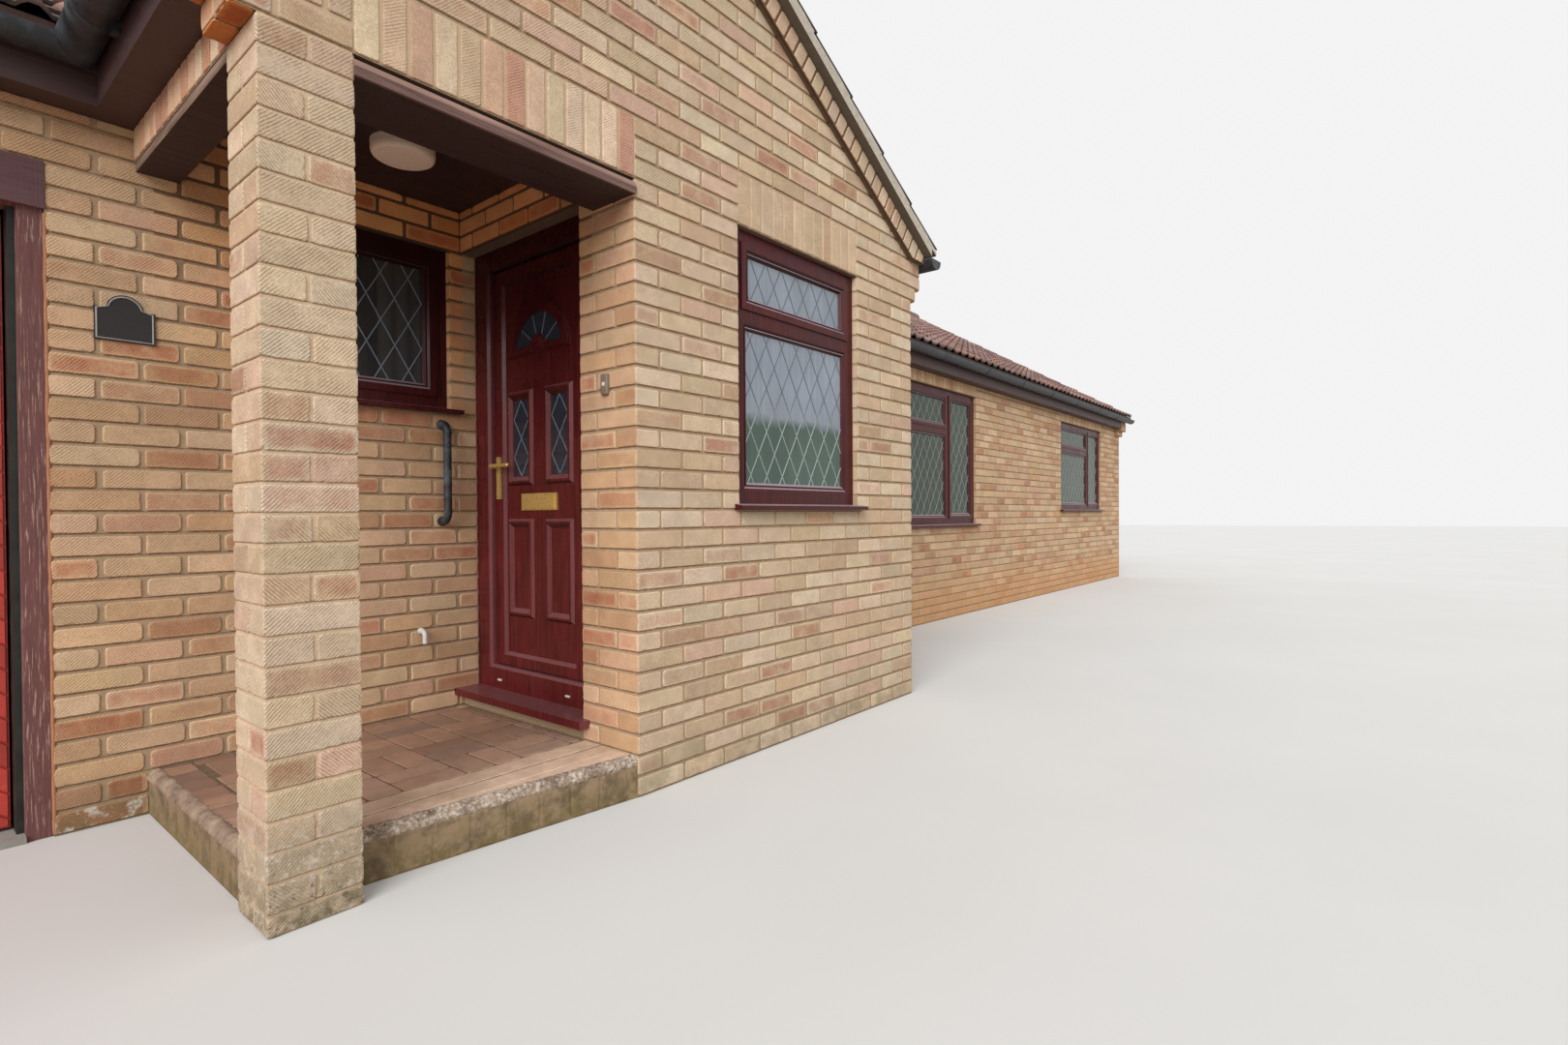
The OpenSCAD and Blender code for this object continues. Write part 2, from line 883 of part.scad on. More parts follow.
module porch_glass() {
  color(clear)
    at_porch_window()
      glazing(porch_win_w, porch_win_h, false, false);
}

module gable_window() {
  color(brown)
    at_gable_window()
      window_frame(gable_win_w, gable_win_h, false, true, sill_horn);
}

module gable_glass() {
  color(clear)
    at_gable_window()
      glazing(gable_win_w, gable_win_h, false, true);
}

module wing_window_1() {
  color(brown)
    translate([wing_x1, yf, head_z - wing_win_h1])
      window_frame(wing_win_w, wing_win_h1, true, true, sill_horn);
}

module wing_window_2() {
  color(brown)
    translate([wing_x2, yf, head_z - wing_win_h2])
      window_frame(wing_win_w, wing_win_h2, true, true, sill_horn);
}

module wing_glass() {
  color(clear) {
    translate([wing_x1, yf, head_z - wing_win_h1])
      glazing(wing_win_w, wing_win_h1, true, true);
    translate([wing_x2, yf, head_z - wing_win_h2])
      glazing(wing_win_w, wing_win_h2, true, true);
  }
}

module rear_window() {
  color(brown)
    translate([rear_win_x + wing_win_w, yb, head_z - wing_win_h2])
      rotate([0, 0, 180])
        window_frame(wing_win_w, wing_win_h2, true, true, sill_horn);
}

module rear_glass() {
  color(clear)
    translate([rear_win_x + wing_win_w, yb, head_z - wing_win_h2])
      rotate([0, 0, 180])
        glazing(wing_win_w, wing_win_h2, true, true);
}

// One half of a butt hinge: its knuckle on the hinge line and the flap that is screwed on beside it.
module hinge_half(z, side) {
  translate([hinge_x, hinge_y, z])
    cylinder(r = hinge_r, h = hinge_h / 2 - seat / 2, $fn = 32);
  box(frame_x + frame_deep - 1, hinge_x - 2, min(hinge_y, hinge_y + side * 24), max(hinge_y, hinge_y + side * 24),
    z, z + hinge_h / 2 - seat / 2);
}

// Stands what is drawn in width, height and depth in the doorway. It faces along -X.
module in_doorway(x, y, z) {
  translate([x, y, z])
    rotate([90, 0, 90])
      children();
}

module door_frame() {
  w0 = seat;
  w1 = door_w - seat;
  top = head_z - sill_z - seat;
  clear_1 = door_w - jamb_w;
  clear_top = head_z - sill_z - head_w;
  color(brown) {
    in_doorway(frame_x, door_y0, sill_z)
      difference() {
        box(w0, w1, -1, top, 0, frame_deep);
        box(jamb_w, clear_1, foot_h, clear_top, -1, frame_deep + 1);
        splay(jamb_w, clear_1, foot_h, clear_top, -1, bevel, bevel);
      }
    // Sill board with its horn, and the part that runs under the frame
    box(cx - sill_out, cx - seat, door_y0 - sill_end, door_y1 - seat, sill_z - sill_t, sill_z);
    box(cx - seat - 1, frame_x + frame_deep, door_y0 + seat, door_y1 - seat, sill_z - sill_t, sill_z);
    for (h = hinge_levels)
      hinge_half(leaf_z0 + h, -1);
  }
}

// Opening of the fan light, in leaf width and height: a half circle over a straight foot, with a round hub.
module fan_light(grow) {
  translate([leaf_w / 2, fan_y])
    difference() {
      intersection() {
        circle(r = fan_r - fan_bead + grow, $fn = 96);
        translate([-fan_r, fan_foot - grow])
          square([2 * fan_r, fan_r]);
      }
      translate([0, hub_r / 3])
        circle(r = hub_r - grow, $fn = 64);
    }
}

module tall_lights(grow) {
  m = bead_w - grow;
  for (s = [0, 1])
    mirror_leaf(s)
      translate([leaf_w / 2 + side_in + m, tall_y + m])
        square([side_out - side_in - 2 * m, tall_h - 2 * m]);
}

// Mirrors an outline about the middle of the leaf when s is 1.
module mirror_leaf(s) {
  if (s == 1)
    translate([leaf_w, 0])
      mirror([1, 0])
        children();
  else
    children();
}

// Outer edge of the fan light's bead, notched under the hub.
module fan_bead_edge(grow) {
  translate([leaf_w / 2, fan_y])
    difference() {
      intersection() {
        circle(r = fan_r + grow, $fn = 96);
        translate([-fan_r - grow, -grow])
          square([2 * fan_r + 2 * grow, fan_r + 2 * grow]);
      }
      translate([0, -grow])
        circle(r = hub_in - grow, $fn = 48);
    }
}

// A moulded bead frame that stands out of the panel: both its edges are splayed and mitred.
module side_bead(y, h) {
  x0 = leaf_w / 2 + side_in;
  x1 = leaf_w / 2 + side_out;
  difference() {
    splay(x0 + bevel, x1 - bevel, y + bevel, y + h - bevel, 1, -bead_t, bevel);
    splay(x0 + bead_w, x1 - bead_w, y + bead_w, y + h - bead_w, -bead_t - 1, 2, bead_w - bevel - 8);
  }
}

module front_door() {
  color(brown) {
    for (h = hinge_levels)
      difference() {
        hinge_half(leaf_z0 + h + hinge_h / 2 + seat / 2, 1);
        box(frame_x, frame_x + frame_deep + 0.5, hinge_y - 1, leaf_y0, 0, head_z);
      }
    // Outer members with their splayed inner edge
    in_doorway(leaf_x, leaf_y0, leaf_z0)
      difference() {
        box(0, leaf_w, 0, leaf_h, 0, leaf_t);
        box(stile_w, leaf_w - stile_w, rail_foot, leaf_h - rail_head, -1, leaf_t + 1);
        splay(stile_w, leaf_w - stile_w, rail_foot, leaf_h - rail_head, -1, bevel, bevel + 4);
      }
    // Moulded panel
    in_doorway(leaf_x + panel_back, leaf_y0, leaf_z0) {
      difference() {
        box(stile_w - 1, leaf_w - stile_w + 1, rail_foot - 1, leaf_h - rail_head + 1, 0, panel_t);
        translate([0, 0, -1])
          linear_extrude(height = panel_t + 2) {
            fan_light(0);
            tall_lights(0);
          }
      }
      // Bead of the fan light, in two steps
      translate([0, 0, -bead_t / 2])
        linear_extrude(height = bead_t / 2 + 1)
          difference() {
            fan_bead_edge(0);
            fan_light(0);
          }
      translate([0, 0, -bead_t])
        linear_extrude(height = bead_t / 2 + 1)
          difference() {
            fan_bead_edge(-9);
            fan_light(12);
          }
      // Beads of the tall lights and the lower panels
      for (s = [0, 1])
        mirror_leaf(s) {
          side_bead(tall_y, tall_h);
          side_bead(low_y, low_h);
        }
    }
  }
}

module door_glass() {
  color(clear)
    in_doorway(leaf_x + panel_back + 4, leaf_y0, leaf_z0)
      linear_extrude(height = panel_t - 8) {
        fan_light(-seat);
        tall_lights(-seat);
      }
}

module door_furniture() {
  face = leaf_x + panel_back - seat;
  mid = leaf_y0 + leaf_w / 2;
  lock_y = leaf_y1 - stile_w / 2;
  hz = leaf_z0 + 915;
  color(gold) {
    // Letter plate with its flap
    box(face - 6, face, mid - 135, mid + 135, leaf_z0 + 710, leaf_z0 + 785);
    box(face - 10, face, mid - 118, mid + 118, leaf_z0 + 716, leaf_z0 + 774);
    // Handle plate and lever
    box(leaf_x - 8, leaf_x - seat, lock_y - 17, lock_y + 17, hz - 152, hz + 42);
    translate([leaf_x - 44, lock_y + 8, hz])
      rotate([0, 90, 0])
        cylinder(r = 10, h = 40, $fn = 32);
    translate([leaf_x - 40, lock_y + 12, hz])
      rotate([90, 0, 0])
        cylinder(r = 9, h = 140, $fn = 32);
    translate([leaf_x - 40, lock_y - 128, hz])
      sphere(r = 9, $fn = 32);
  }
}

module garage_frame() {
  y0 = yf + frame_front;
  y1 = y0 + jamb_deep;
  color(brown) {
    box(go_x0 + seat, go_x0 + garage_jamb, y0, y1, 0, garage_head_z + 1);
    box(go_x1 - garage_jamb, go_x1 - seat, y0, y1, 0, garage_head_z + 1);
    box(go_x0 + seat, go_x1 - seat, yf - 8, y1, garage_head_z, garage_head_z + garage_head_h);
  }
}

// Steel posts behind the timber jambs, joined by a rail behind the head.
module garage_posts() {
  y0 = yf + frame_front + jamb_deep - 60;
  y1 = yf + bar_y - 27 - seat;
  x0 = go_x0 + garage_jamb;
  x1 = go_x1 - garage_jamb;
  color(black) {
    box(x0 + seat, x0 + post_w, y0, y1, garage_floor_z, garage_head_z - seat);
    box(x1 - post_w, x1 - seat, y0, y1, garage_floor_z, garage_head_z - seat);
  }
}

// Lifting bar that the leaf turns on, with a shoe at each end that runs behind the posts.
module garage_lift() {
  x0 = go_x0 + garage_jamb + seat;
  x1 = go_x1 - garage_jamb - seat;
  color(black) {
    translate([x0, yf + bar_y, bar_z])
      rotate([0, 90, 0])
        cylinder(r = bar_r, h = x1 - x0, $fn = 32);
    box(x0, x0 + post_w - 2, yf + bar_y - 27, yf + bar_y + 20, bar_z - 60, bar_z + 60);
    box(x1 - post_w + 2, x1, yf + bar_y - 27, yf + bar_y + 20, bar_z - 60, bar_z + 60);
  }
}

module garage_door() {
  x0 = go_x0 + garage_jamb + post_w + post_gap;
  x1 = x0 + garage_leaf_w;
  y0 = yf + leaf_front;
  y1 = y0 + garage_leaf_t;
  color(red) {
    difference() {
      box(x0, x1, y0, y1, garage_leaf_z0, garage_leaf_z0 + garage_leaf_h);
      box(x0 + 40, x1 - 40, y0 + 8, y1 + 1, garage_leaf_z0 + 40, garage_leaf_z0 + garage_leaf_h - 40);
    }
    // Lugs that carry the leaf on the bar
    for (x = [x0, x1 - 60])
      difference() {
        box(x, x + 60, y1 - 1, yf + bar_y + bar_r + 12, bar_z - bar_r - 12, bar_z + bar_r + 12);
        translate([x - 1, yf + bar_y, bar_z])
          rotate([0, 90, 0])
            cylinder(r = bar_r + 0.1, h = 62, $fn = 32);
      }
  }
}

module porch_light() {
  r = lamp_d / 2;
  color([0.9, 0.88, 0.82])
    translate([cx - 460, yf - 450, ceiling_z - lamp_h])
      rotate_extrude($fn = 96)
        polygon([
          [0, 0],
          [r * 0.6, 1],
          [r - 14, 4],
          [r - 6, 9],
          [r - 2, 16],
          [r, 26],
          [r, lamp_h - seat],
          [0, lamp_h - seat]
        ]);
}

// One end of the grab rail, with its origin where the bar and the stub would cross. The bar turns back
// through a quarter circle and meets the wall at a flange.
module rail_end() {
  translate([0, rail_bend, -rail_bend])
    rotate([90, 0, -90])
      rotate_extrude(angle = 90, $fn = 48)
        translate([rail_bend, 0])
          circle(d = rail_d, $fn = 32);
  translate([0, rail_bend, 0])
    rotate([-90, 0, 0])
      cylinder(d = rail_d, h = rail_off - rail_bend - seat, $fn = 32);
  translate([0, rail_off - 8, 0])
    rotate([-90, 0, 0])
      cylinder(d = rail_d + 10, h = 8 - seat, $fn = 40);
}

module grab_rail() {
  color(black)
    translate([rail_x, yf - rail_off, rail_z]) {
      translate([0, 0, rail_bend])
        cylinder(d = rail_d, h = rail_len - 2 * rail_bend, $fn = 32);
      translate([0, 0, rail_len])
        rail_end();
      mirror([0, 0, 1])
        rail_end();
    }
}

module number_plaque() {
  x = gx0 - 32;
  color(black)
    translate([x - 80, yf - 10, 1630]) {
      cube([160, 10 - seat, 110]);
      translate([80, 10 - seat, 110])
        rotate([90, 0, 0])
          cylinder(r = 48, h = 10 - seat, $fn = 48);
    }
}

floor_slab();
porch_floor();
left_end_wall();
garage_wall_over();
porch_back_wall();
door_wall_over();
gable_front_wall();
gable_top();
gable_side_wall();
wing_wall();
right_end_wall();
rear_wall();
porch_side_wall();
porch_pier();
porch_timbers();
eaves_boards_left();
eaves_boards_right();
eaves_boards_rear();
gutter_left();
gutter_right();
gutter_rear();
main_roof_front();
main_roof_rear();
gable_roof();
ridge_tiles();
porch_window();
porch_glass();
gable_window();
gable_glass();
wing_window_1();
wing_window_2();
wing_glass();
rear_window();
rear_glass();
door_frame();
front_door();
door_glass();
door_furniture();
garage_frame();
garage_posts();
garage_lift();
garage_door();
porch_light();
grab_rail();
number_plaque();
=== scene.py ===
import bmesh
import bpy
import math
import random
import numpy as np
from mathutils import Matrix, Vector


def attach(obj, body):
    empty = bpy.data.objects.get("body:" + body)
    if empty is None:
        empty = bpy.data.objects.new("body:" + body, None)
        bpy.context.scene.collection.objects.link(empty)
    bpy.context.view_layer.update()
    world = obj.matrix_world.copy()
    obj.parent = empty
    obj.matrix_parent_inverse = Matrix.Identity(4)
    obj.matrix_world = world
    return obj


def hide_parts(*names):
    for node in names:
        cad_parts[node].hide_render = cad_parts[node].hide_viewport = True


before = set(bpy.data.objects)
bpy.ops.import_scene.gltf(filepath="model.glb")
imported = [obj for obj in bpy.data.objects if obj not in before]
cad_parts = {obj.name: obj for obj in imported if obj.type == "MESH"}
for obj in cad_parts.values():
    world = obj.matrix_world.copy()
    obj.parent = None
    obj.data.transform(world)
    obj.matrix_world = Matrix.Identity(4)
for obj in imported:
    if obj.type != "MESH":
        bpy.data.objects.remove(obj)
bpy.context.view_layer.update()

rng = random.Random(11)
X, Y, Z = Vector((1, 0, 0)), Vector((0, 1, 0)), Vector((0, 0, 1))

# Driving sizes of the house, in metres, as in the frame
RANGE_LEN, RANGE_DEPTH, GARAGE_RUN, GABLE_W, GABLE_OUT = 15.1875, 7.5, 2.962, 3.178, 1.2375
PORCH_W, DOOR_W, GARAGE_PIER, GARAGE_DOORWAY, GARAGE_JAMB = 1.163, 0.91, 0.225, 2.308, 0.087
WALL, PIER, HEAD, SOFFIT, CEIL, PORCH = 0.255, 0.215, 2.25, 2.362, 2.438, 0.15
TILE_Z, DROP, EAVES, VERGE = 2.647, 0.06928, 0.165, 0.084
KNEEL, BAND = 0.106, 0.034
PITCH = math.radians(30)
SLOPE, COS, SIN = math.tan(PITCH), math.cos(PITCH), 0.5

# Sides of the main range and its half depth, then of the gable, the porch's inner corner and the garage doorway
XL, XR, YF, YB = -RANGE_LEN / 2, RANGE_LEN / 2, -RANGE_DEPTH / 2, RANGE_DEPTH / 2
HALF_DEPTH, GABLE_HALF = RANGE_DEPTH / 2, GABLE_W / 2
GX0 = XL + GARAGE_RUN
GX1, GXM, GY, CX = GX0 + GABLE_W, GX0 + GABLE_HALF, YF - GABLE_OUT, GX0 + PORCH_W
GO1 = GX0 - GARAGE_PIER
GO0 = GO1 - GARAGE_DOORWAY
APEX, GAPEX = TILE_Z + HALF_DEPTH * SLOPE, TILE_Z + GABLE_HALF * SLOPE
# The front door's opening, frame, leaf and the face of its panels
DOOR_Y0, FRAME_X = YF - DOOR_W, CX + 0.072
LEAF_Y0, LEAF_Z0, PANEL_X = DOOR_Y0 + 0.115, 0.345, FRAME_X + 0.040
# Windows: widths, heights, sills and places
WIDE_WIN, GABLE_WIN, GABLE_WIN_X, PORCH_WIN, SILL = 1.81, 0.91, 0.5525, 0.685, 1.05
WING_WIN_X, WING_SILL, PORCH_WIN_X, PORCH_SILL = 1.812, 0.9, -0.74, 1.5

# Brickwork: course height, brick and half brick with their joints, and the pier's own course
COURSE, BRICK, HALF_BRICK, PIER_COURSE = 0.075, 0.225, 0.1125, 0.0757
# Spacing of the points round a brick, near the photo's viewpoint and elsewhere
FINE, COARSE = 0.017, 0.06
NOWHERE = 99.0  # a start of the fine bricks beyond every wall's end
STOOD_TOP = 2.47  # top of the bricks that stand over the porch and its window
GREY = (0.5, 0.5, 0.5, 1)
DOOR_Y0, FRAME_X, LEAF_Y0, LEAF_Z0, PANEL_X = -4.66, -3.39675, -4.545, 0.345, -3.35675


# Materials

def lin(r, g, b, a=1.0):
    """An sRGB colour of 0 to 255, as the linear values that Blender takes."""
    def one(c):
        c /= 255.0
        return c / 12.92 if c <= 0.04045 else ((c + 0.055) / 1.055) ** 2.4
    return (one(r), one(g), one(b), a)


class Shader:
    def __init__(self, name, rough=0.7, uv=False):
        self.m = bpy.data.materials.new(name)
        self.m.use_nodes = True
        self.t = self.m.node_tree
        self.b = self.t.nodes["Principled BSDF"]
        self.b.inputs["Roughness"].default_value = rough
        self.src = self.node("TexCoord").outputs["UV" if uv else "Object"]

    def node(self, kind, ins=None, **props):
        n = self.t.nodes.new("ShaderNode" + kind)
        for k, v in props.items():
            setattr(n, k, v)
        for k, v in (ins or {}).items():
            self.put(n.inputs[k], v)
        return n

    def put(self, sock, v):
        if isinstance(v, bpy.types.NodeSocket):
            self.t.links.new(v, sock)
        else:
            sock.default_value = v

    def space(self, scale=(1, 1, 1), rot=(0, 0, 0), uv=None):
        src = self.src
        if uv is not None:
            src = self.node("TexCoord").outputs["UV" if uv else "Object"]
        return self.node("Mapping", {"Vector": src, "Scale": scale, "Rotation": rot}).outputs["Vector"]

    def noise(self, scale, detail=4.0, rough=0.55, vec=None, distort=0.0):
        ins = {"Vector": vec or self.src, "Scale": scale, "Detail": detail, "Roughness": rough, "Distortion": distort}
        return self.node("TexNoise", ins).outputs["Fac"]

    def grain(self, scale, detail, rough, distort=0.0):
        """A noise with its own scale along each axis."""
        return self.noise(1.0, detail, rough, self.space(scale), distort)

    def lines(self, pitch, vec, wobble):
        """Parallel lines across the first axis of vec, pitch metres apart."""
        ins = {"Vector": vec, "Scale": math.pi / 10 / pitch, "Distortion": wobble, "Detail": 2.0, "Detail Scale": 0.6}
        return self.node("TexWave", ins).outputs["Fac"]

    def span(self, value, lo, hi, a=0.0, b=1.0):
        ins = {"Value": value, "From Min": lo, "From Max": hi, "To Min": a, "To Max": b}
        return self.node("MapRange", ins, clamp=True).outputs["Result"]

    def mix(self, fac, a, b, how="MIX"):
        return self.node("MixRGB", {"Fac": fac, "Color1": a, "Color2": b}, blend_type=how).outputs["Color"]

    def math(self, op, a, b=0.5):
        n = self.node("Math", operation=op)
        self.put(n.inputs[0], a)
        self.put(n.inputs[1], b)
        return n.outputs[0]

    def times(self, first, *others):
        for other in others:
            first = self.math("MULTIPLY", first, other)
        return first

    def below(self, value, limit):
        return self.math("LESS_THAN", value, limit)

    def above(self, value, limit):
        return self.math("GREATER_THAN", value, limit)

    def between(self, value, lo, hi):
        return self.times(self.above(value, lo), self.below(value, hi))

    def split(self, vector):
        n = self.node("SeparateXYZ", {"Vector": vector})
        return n.outputs["X"], n.outputs["Y"], n.outputs["Z"]

    def axes(self):
        return self.split(self.node("TexCoord").outputs["Object"])

    def facing(self):
        return self.split(self.node("NewGeometry").outputs["True Normal"])

    def tone(self):
        """The colour and the alpha that a mesh carries at its points."""
        at = self.node("Attribute", attribute_name="tone")
        return at.outputs["Color"], at.outputs["Alpha"]

    def vary(self, colour, fac, dark, light=1.0):
        """Multiplies a colour by a grey between dark and light, by a 0 to 1 factor."""
        grey = self.mix(fac, (dark, dark, dark, 1), (light, light, light, 1))
        return self.mix(1.0, colour, grey, "MULTIPLY")

    def mottle(self, colour, noise, dark, light):
        """Varies a colour by the middle range of a noise."""
        return self.vary(colour, self.span(noise, 0.3, 0.7), dark, light)

    def paint(self, colour, rgb, *masks):
        """Covers a colour with an sRGB one, by the product of the masks."""
        return self.mix(self.times(*masks), colour, lin(*rgb))

    def wash(self, colour, by, *masks):
        """Multiplies a colour by another, by the product of the masks."""
        return self.mix(self.times(*masks), colour, self.mix(1.0, colour, (*by, 1), "MULTIPLY"))

    def done(self, colour, rough, *bumps):
        self.put(self.b.inputs["Base Color"], colour)
        self.put(self.b.inputs["Roughness"], rough)
        last = None
        for height, dist in bumps:
            ins = {"Height": height, "Distance": dist, "Strength": 1.0}
            if last is not None:
                ins["Normal"] = last
            last = self.node("Bump", ins).outputs["Normal"]
        if last is not None:
            self.put(self.b.inputs["Normal"], last)
        return self.m


def brick_material(name, pitch=0.0078, strength=0.8):
    """Drag-faced brick. The tone's alpha is the strength of a red flash on the brick."""
    s = Shader(name, 0.9, uv=True)
    _, _, nz = s.facing()
    tone, flash = s.tone()
    obj = s.space(uv=False)
    drag = s.lines(pitch, s.space(rot=(0, 0, math.radians(90))), 2.2)
    worn = s.noise(14, 4, 0.6, obj)
    groove = s.times(s.span(drag, 0.05, 0.42, 1, 0), s.span(worn, 0.38, 0.56, 0.10, 1))
    blotch = s.noise(9, 5, 0.6, obj)
    grain = s.noise(150, 4, 0.8, obj)
    pit = s.noise(100, 4, 0.65, obj)
    patch = s.noise(16, 4, 0.6, s.space(rot=(0.3, 0.5, 0.2), uv=False))
    c = s.wash(tone, (0.74, 0.47, 0.42), flash, s.span(patch, 0.30, 0.60, 0.35, 1))
    c = s.mottle(c, blotch, 0.93, 1.05)
    c = s.vary(c, s.span(grain, 0.34, 0.66), 0.80, 1.18)
    c = s.wash(c, (0.52, 0.40, 0.32), groove, 0.62 * strength)
    c = s.paint(c, (120, 88, 64), s.span(pit, 0.66, 0.74, 0, 0.5))
    # Painted shade: the faces that look down, such as the undersides of the brick edges, are darkened
    c = s.wash(c, (0.60, 0.50, 0.42), s.span(nz, -0.6, -0.3, 1, 0))
    return s, c, obj, blotch, grain, [(groove, -0.0009 * strength), (grain, 0.0010), (pit, -0.0010)]


def wall_brick():
    s, c, obj, blotch, grain, bumps = brick_material("brick")
    x, y, z = s.axes()
    # Damp grey and green at the foot of every wall
    c = s.paint(c, (132, 122, 98), s.span(z, 0.03, 0.24, 1, 0), s.span(blotch, 0.40, 0.60), 0.6)
    # Iron-stained splash band along the wing
    c = s.paint(c, (206, 150, 98), s.span(z, 0.16, 0.50, 1, 0), s.span(x, GX1, GX1 + 0.05),
                s.span(y, YF + 0.2, YF + 3.0, 0.62, 0))
    # Painted warm bounce light on the brick under the porch ceiling, redder and brighter there
    front = s.below(y, YF + 0.1)
    c = s.wash(c, (1.42, 0.98, 0.64), s.span(x, GX0 + 0.02, GX0 + 0.40), s.below(x, CX + 0.0085),
               s.span(y, GY + 0.25, GY + 0.70), front, s.span(z, 1.3, 2.25))
    # Brown lowest courses and a lime patch beside the garage doorway
    low = s.times(s.span(z, 0.13, 0.17, 1, 0), s.below(x, GX0 - 0.005), front)
    c = s.wash(c, (0.66, 0.52, 0.42), low, 0.8)
    c = s.paint(c, (206, 198, 184), low, s.span(z, 0.06, 0.09, 1, 0), s.span(s.noise(30, 5, 0.7, obj), 0.50, 0.62))
    return s.done(c, s.span(grain, 0.2, 0.8, 0.8, 0.97), *bumps)


def pier_brick():
    """Brick with a stained foot: grey, then flecks of lime, moss and dark spots."""
    s, c, obj, blotch, _, bumps = brick_material("pier_brick", 0.0074, 1.0)
    _, _, z = s.axes()
    crust = s.noise(34, 6, 0.75, obj)
    c = s.paint(c, (160, 143, 120), s.span(z, 0.20, 0.36, 1, 0), s.span(blotch, 0.28, 0.50), 0.70)
    fleck = s.math("MAXIMUM", s.span(crust, 0.52, 0.64), s.span(s.noise(110, 5, 0.75, obj), 0.54, 0.64))
    c = s.paint(c, (212, 202, 188), s.span(z, 0.20, 0.36, 0.75, 0), fleck)
    c = s.paint(c, (92, 88, 54), s.span(z, 0.0, 0.14, 1, 0), s.span(s.noise(26, 5, 0.7, obj), 0.42, 0.6), 0.85)
    c = s.paint(c, (84, 70, 54), s.span(z, 0.08, 0.30, 1, 0), s.span(s.noise(60, 5, 0.7, obj), 0.58, 0.66), 0.7)
    return s.done(c, 0.93, (crust, 0.0012), *bumps)


def mortar_material():
    """Recessed mortar outside, plaster on the faces that look into the rooms."""
    s = Shader("mortar", 0.95)
    x, y, z = s.axes()
    _, _, nz = s.facing()
    sand = s.noise(260, 4, 0.7)
    lump = s.noise(40, 5, 0.65)

    def painted_shadow_lines(z0, gauge, lo, hi):
        """A painted shadow line under the bricks of each course, above z0."""
        f = s.math("FRACT", s.math("DIVIDE", s.math("SUBTRACT", z, z0), gauge))
        return s.times(s.span(f, lo, lo + 0.02), s.below(f, hi))

    pier = s.times(s.below(x, GX0 + 0.235), s.below(y, GY + 0.235), s.below(z, HEAD))
    c = s.mix(pier, lin(178, 152, 122), lin(208, 182, 152))
    c = s.mottle(s.mottle(c, lump, 0.84, 1.10), sand, 0.86, 1.08)
    # Paler where bricks stand on end over the porch and the window, with no painted shadow lines there
    over = s.math("MAXIMUM", s.below(x, CX + 0.004), s.between(x, CX + 0.553, CX + 1.462))
    stood = s.times(s.span(z, HEAD + 0.010, HEAD + 0.011), s.below(z, STOOD_TOP), over, s.below(y, GY + 0.01))
    c = s.paint(c, (206, 180, 150), stood, 0.7)
    # Painted shadow lines under the bricks, on the pier's own gauge at the pier
    line = s.mix(pier, painted_shadow_lines(0.0, COURSE, 0.010, 0.08), painted_shadow_lines(HEAD - 40 * PIER_COURSE, PIER_COURSE, 0.020, 0.09))
    c = s.paint(c, (104, 76, 52), line, s.math("SUBTRACT", 1.0, stood),
                s.span(s.noise(60, 4, 0.7), 0.34, 0.52, 0.15, 0.75))
    c = s.paint(c, (122, 114, 90), s.span(z, 0.03, 0.26, 1, 0), s.span(lump, 0.4, 0.55), 0.6)
    # Painted shade: dark behind the verge band, on the faces that look down and deep in the porch towards its ceiling
    c = s.mix(s.below(y, GY - 0.02), c, s.mottle(lin(118, 86, 62), lump, 0.8, 1.15))
    c = s.paint(c, (70, 52, 40), s.span(nz, -0.7, -0.3, 0.8, 0))
    porch_shade = s.times(s.between(x, GX0 + 0.05, CX + 0.01), s.between(y, GY + 0.25, YF + 0.1))
    c = s.wash(c, (0.42, 0.32, 0.26), porch_shade, s.span(z, 1.6, 2.25))
    main = s.times(s.between(x, XL + 0.2, XR - 0.2), s.between(y, YF + 0.2, YB - 0.2))
    wing = s.times(s.between(x, CX + 0.2, GX1 - 0.2), s.between(y, GY + 0.2, YF + 0.3))
    c = s.mix(s.math("MAXIMUM", main, wing), c, s.mottle(lin(214, 208, 196), lump, 0.94, 1.03))
    return s.done(c, 0.95, (lump, 0.0016), (sand, 0.0008))


def painted_boards():
    """Painted timber with its grain along the eaves and worn flakes."""
    s = Shader("painted_boards", 0.5)
    grain = s.grain((2.2, 70, 70), 5, 0.65, 0.4)
    flake = s.grain((0.99, 31.5, 31.5), 6, 0.75, 0.2)
    c = s.mottle(lin(68, 46, 44), grain, 0.68, 1.28)
    c = s.paint(c, (118, 92, 86), s.span(flake, 0.60, 0.70), 0.3)
    return s.done(c, s.span(grain, 0.2, 0.8, 0.38, 0.68), (grain, 0.0008), (flake, 0.0005))


def garage_timber():
    """Dark stained jambs with flaking stain, and a darker head with its grain along it."""
    s = Shader("garage_timber", 0.62)
    _, _, z = s.axes()
    up = s.grain((90, 90, 4), 5, 0.7, 0.4)
    along = s.grain((5, 90, 90), 5, 0.7, 0.3)
    flake = s.grain((210, 210, 8), 5, 0.7, 0.2)
    c = s.mottle(lin(112, 70, 68), up, 0.66, 1.2)
    c = s.paint(c, (200, 168, 150), s.span(flake, 0.555, 0.61), s.span(s.noise(5, 4, 0.6), 0.36, 0.54, 0.15, 1), 0.75)
    c = s.mix(s.above(z, 2.0245), c, s.mottle(lin(96, 64, 68), along, 0.75, 1.15))
    return s.done(c, s.span(up, 0.2, 0.8, 0.5, 0.8), (up, 0.0008), (flake, 0.0005))


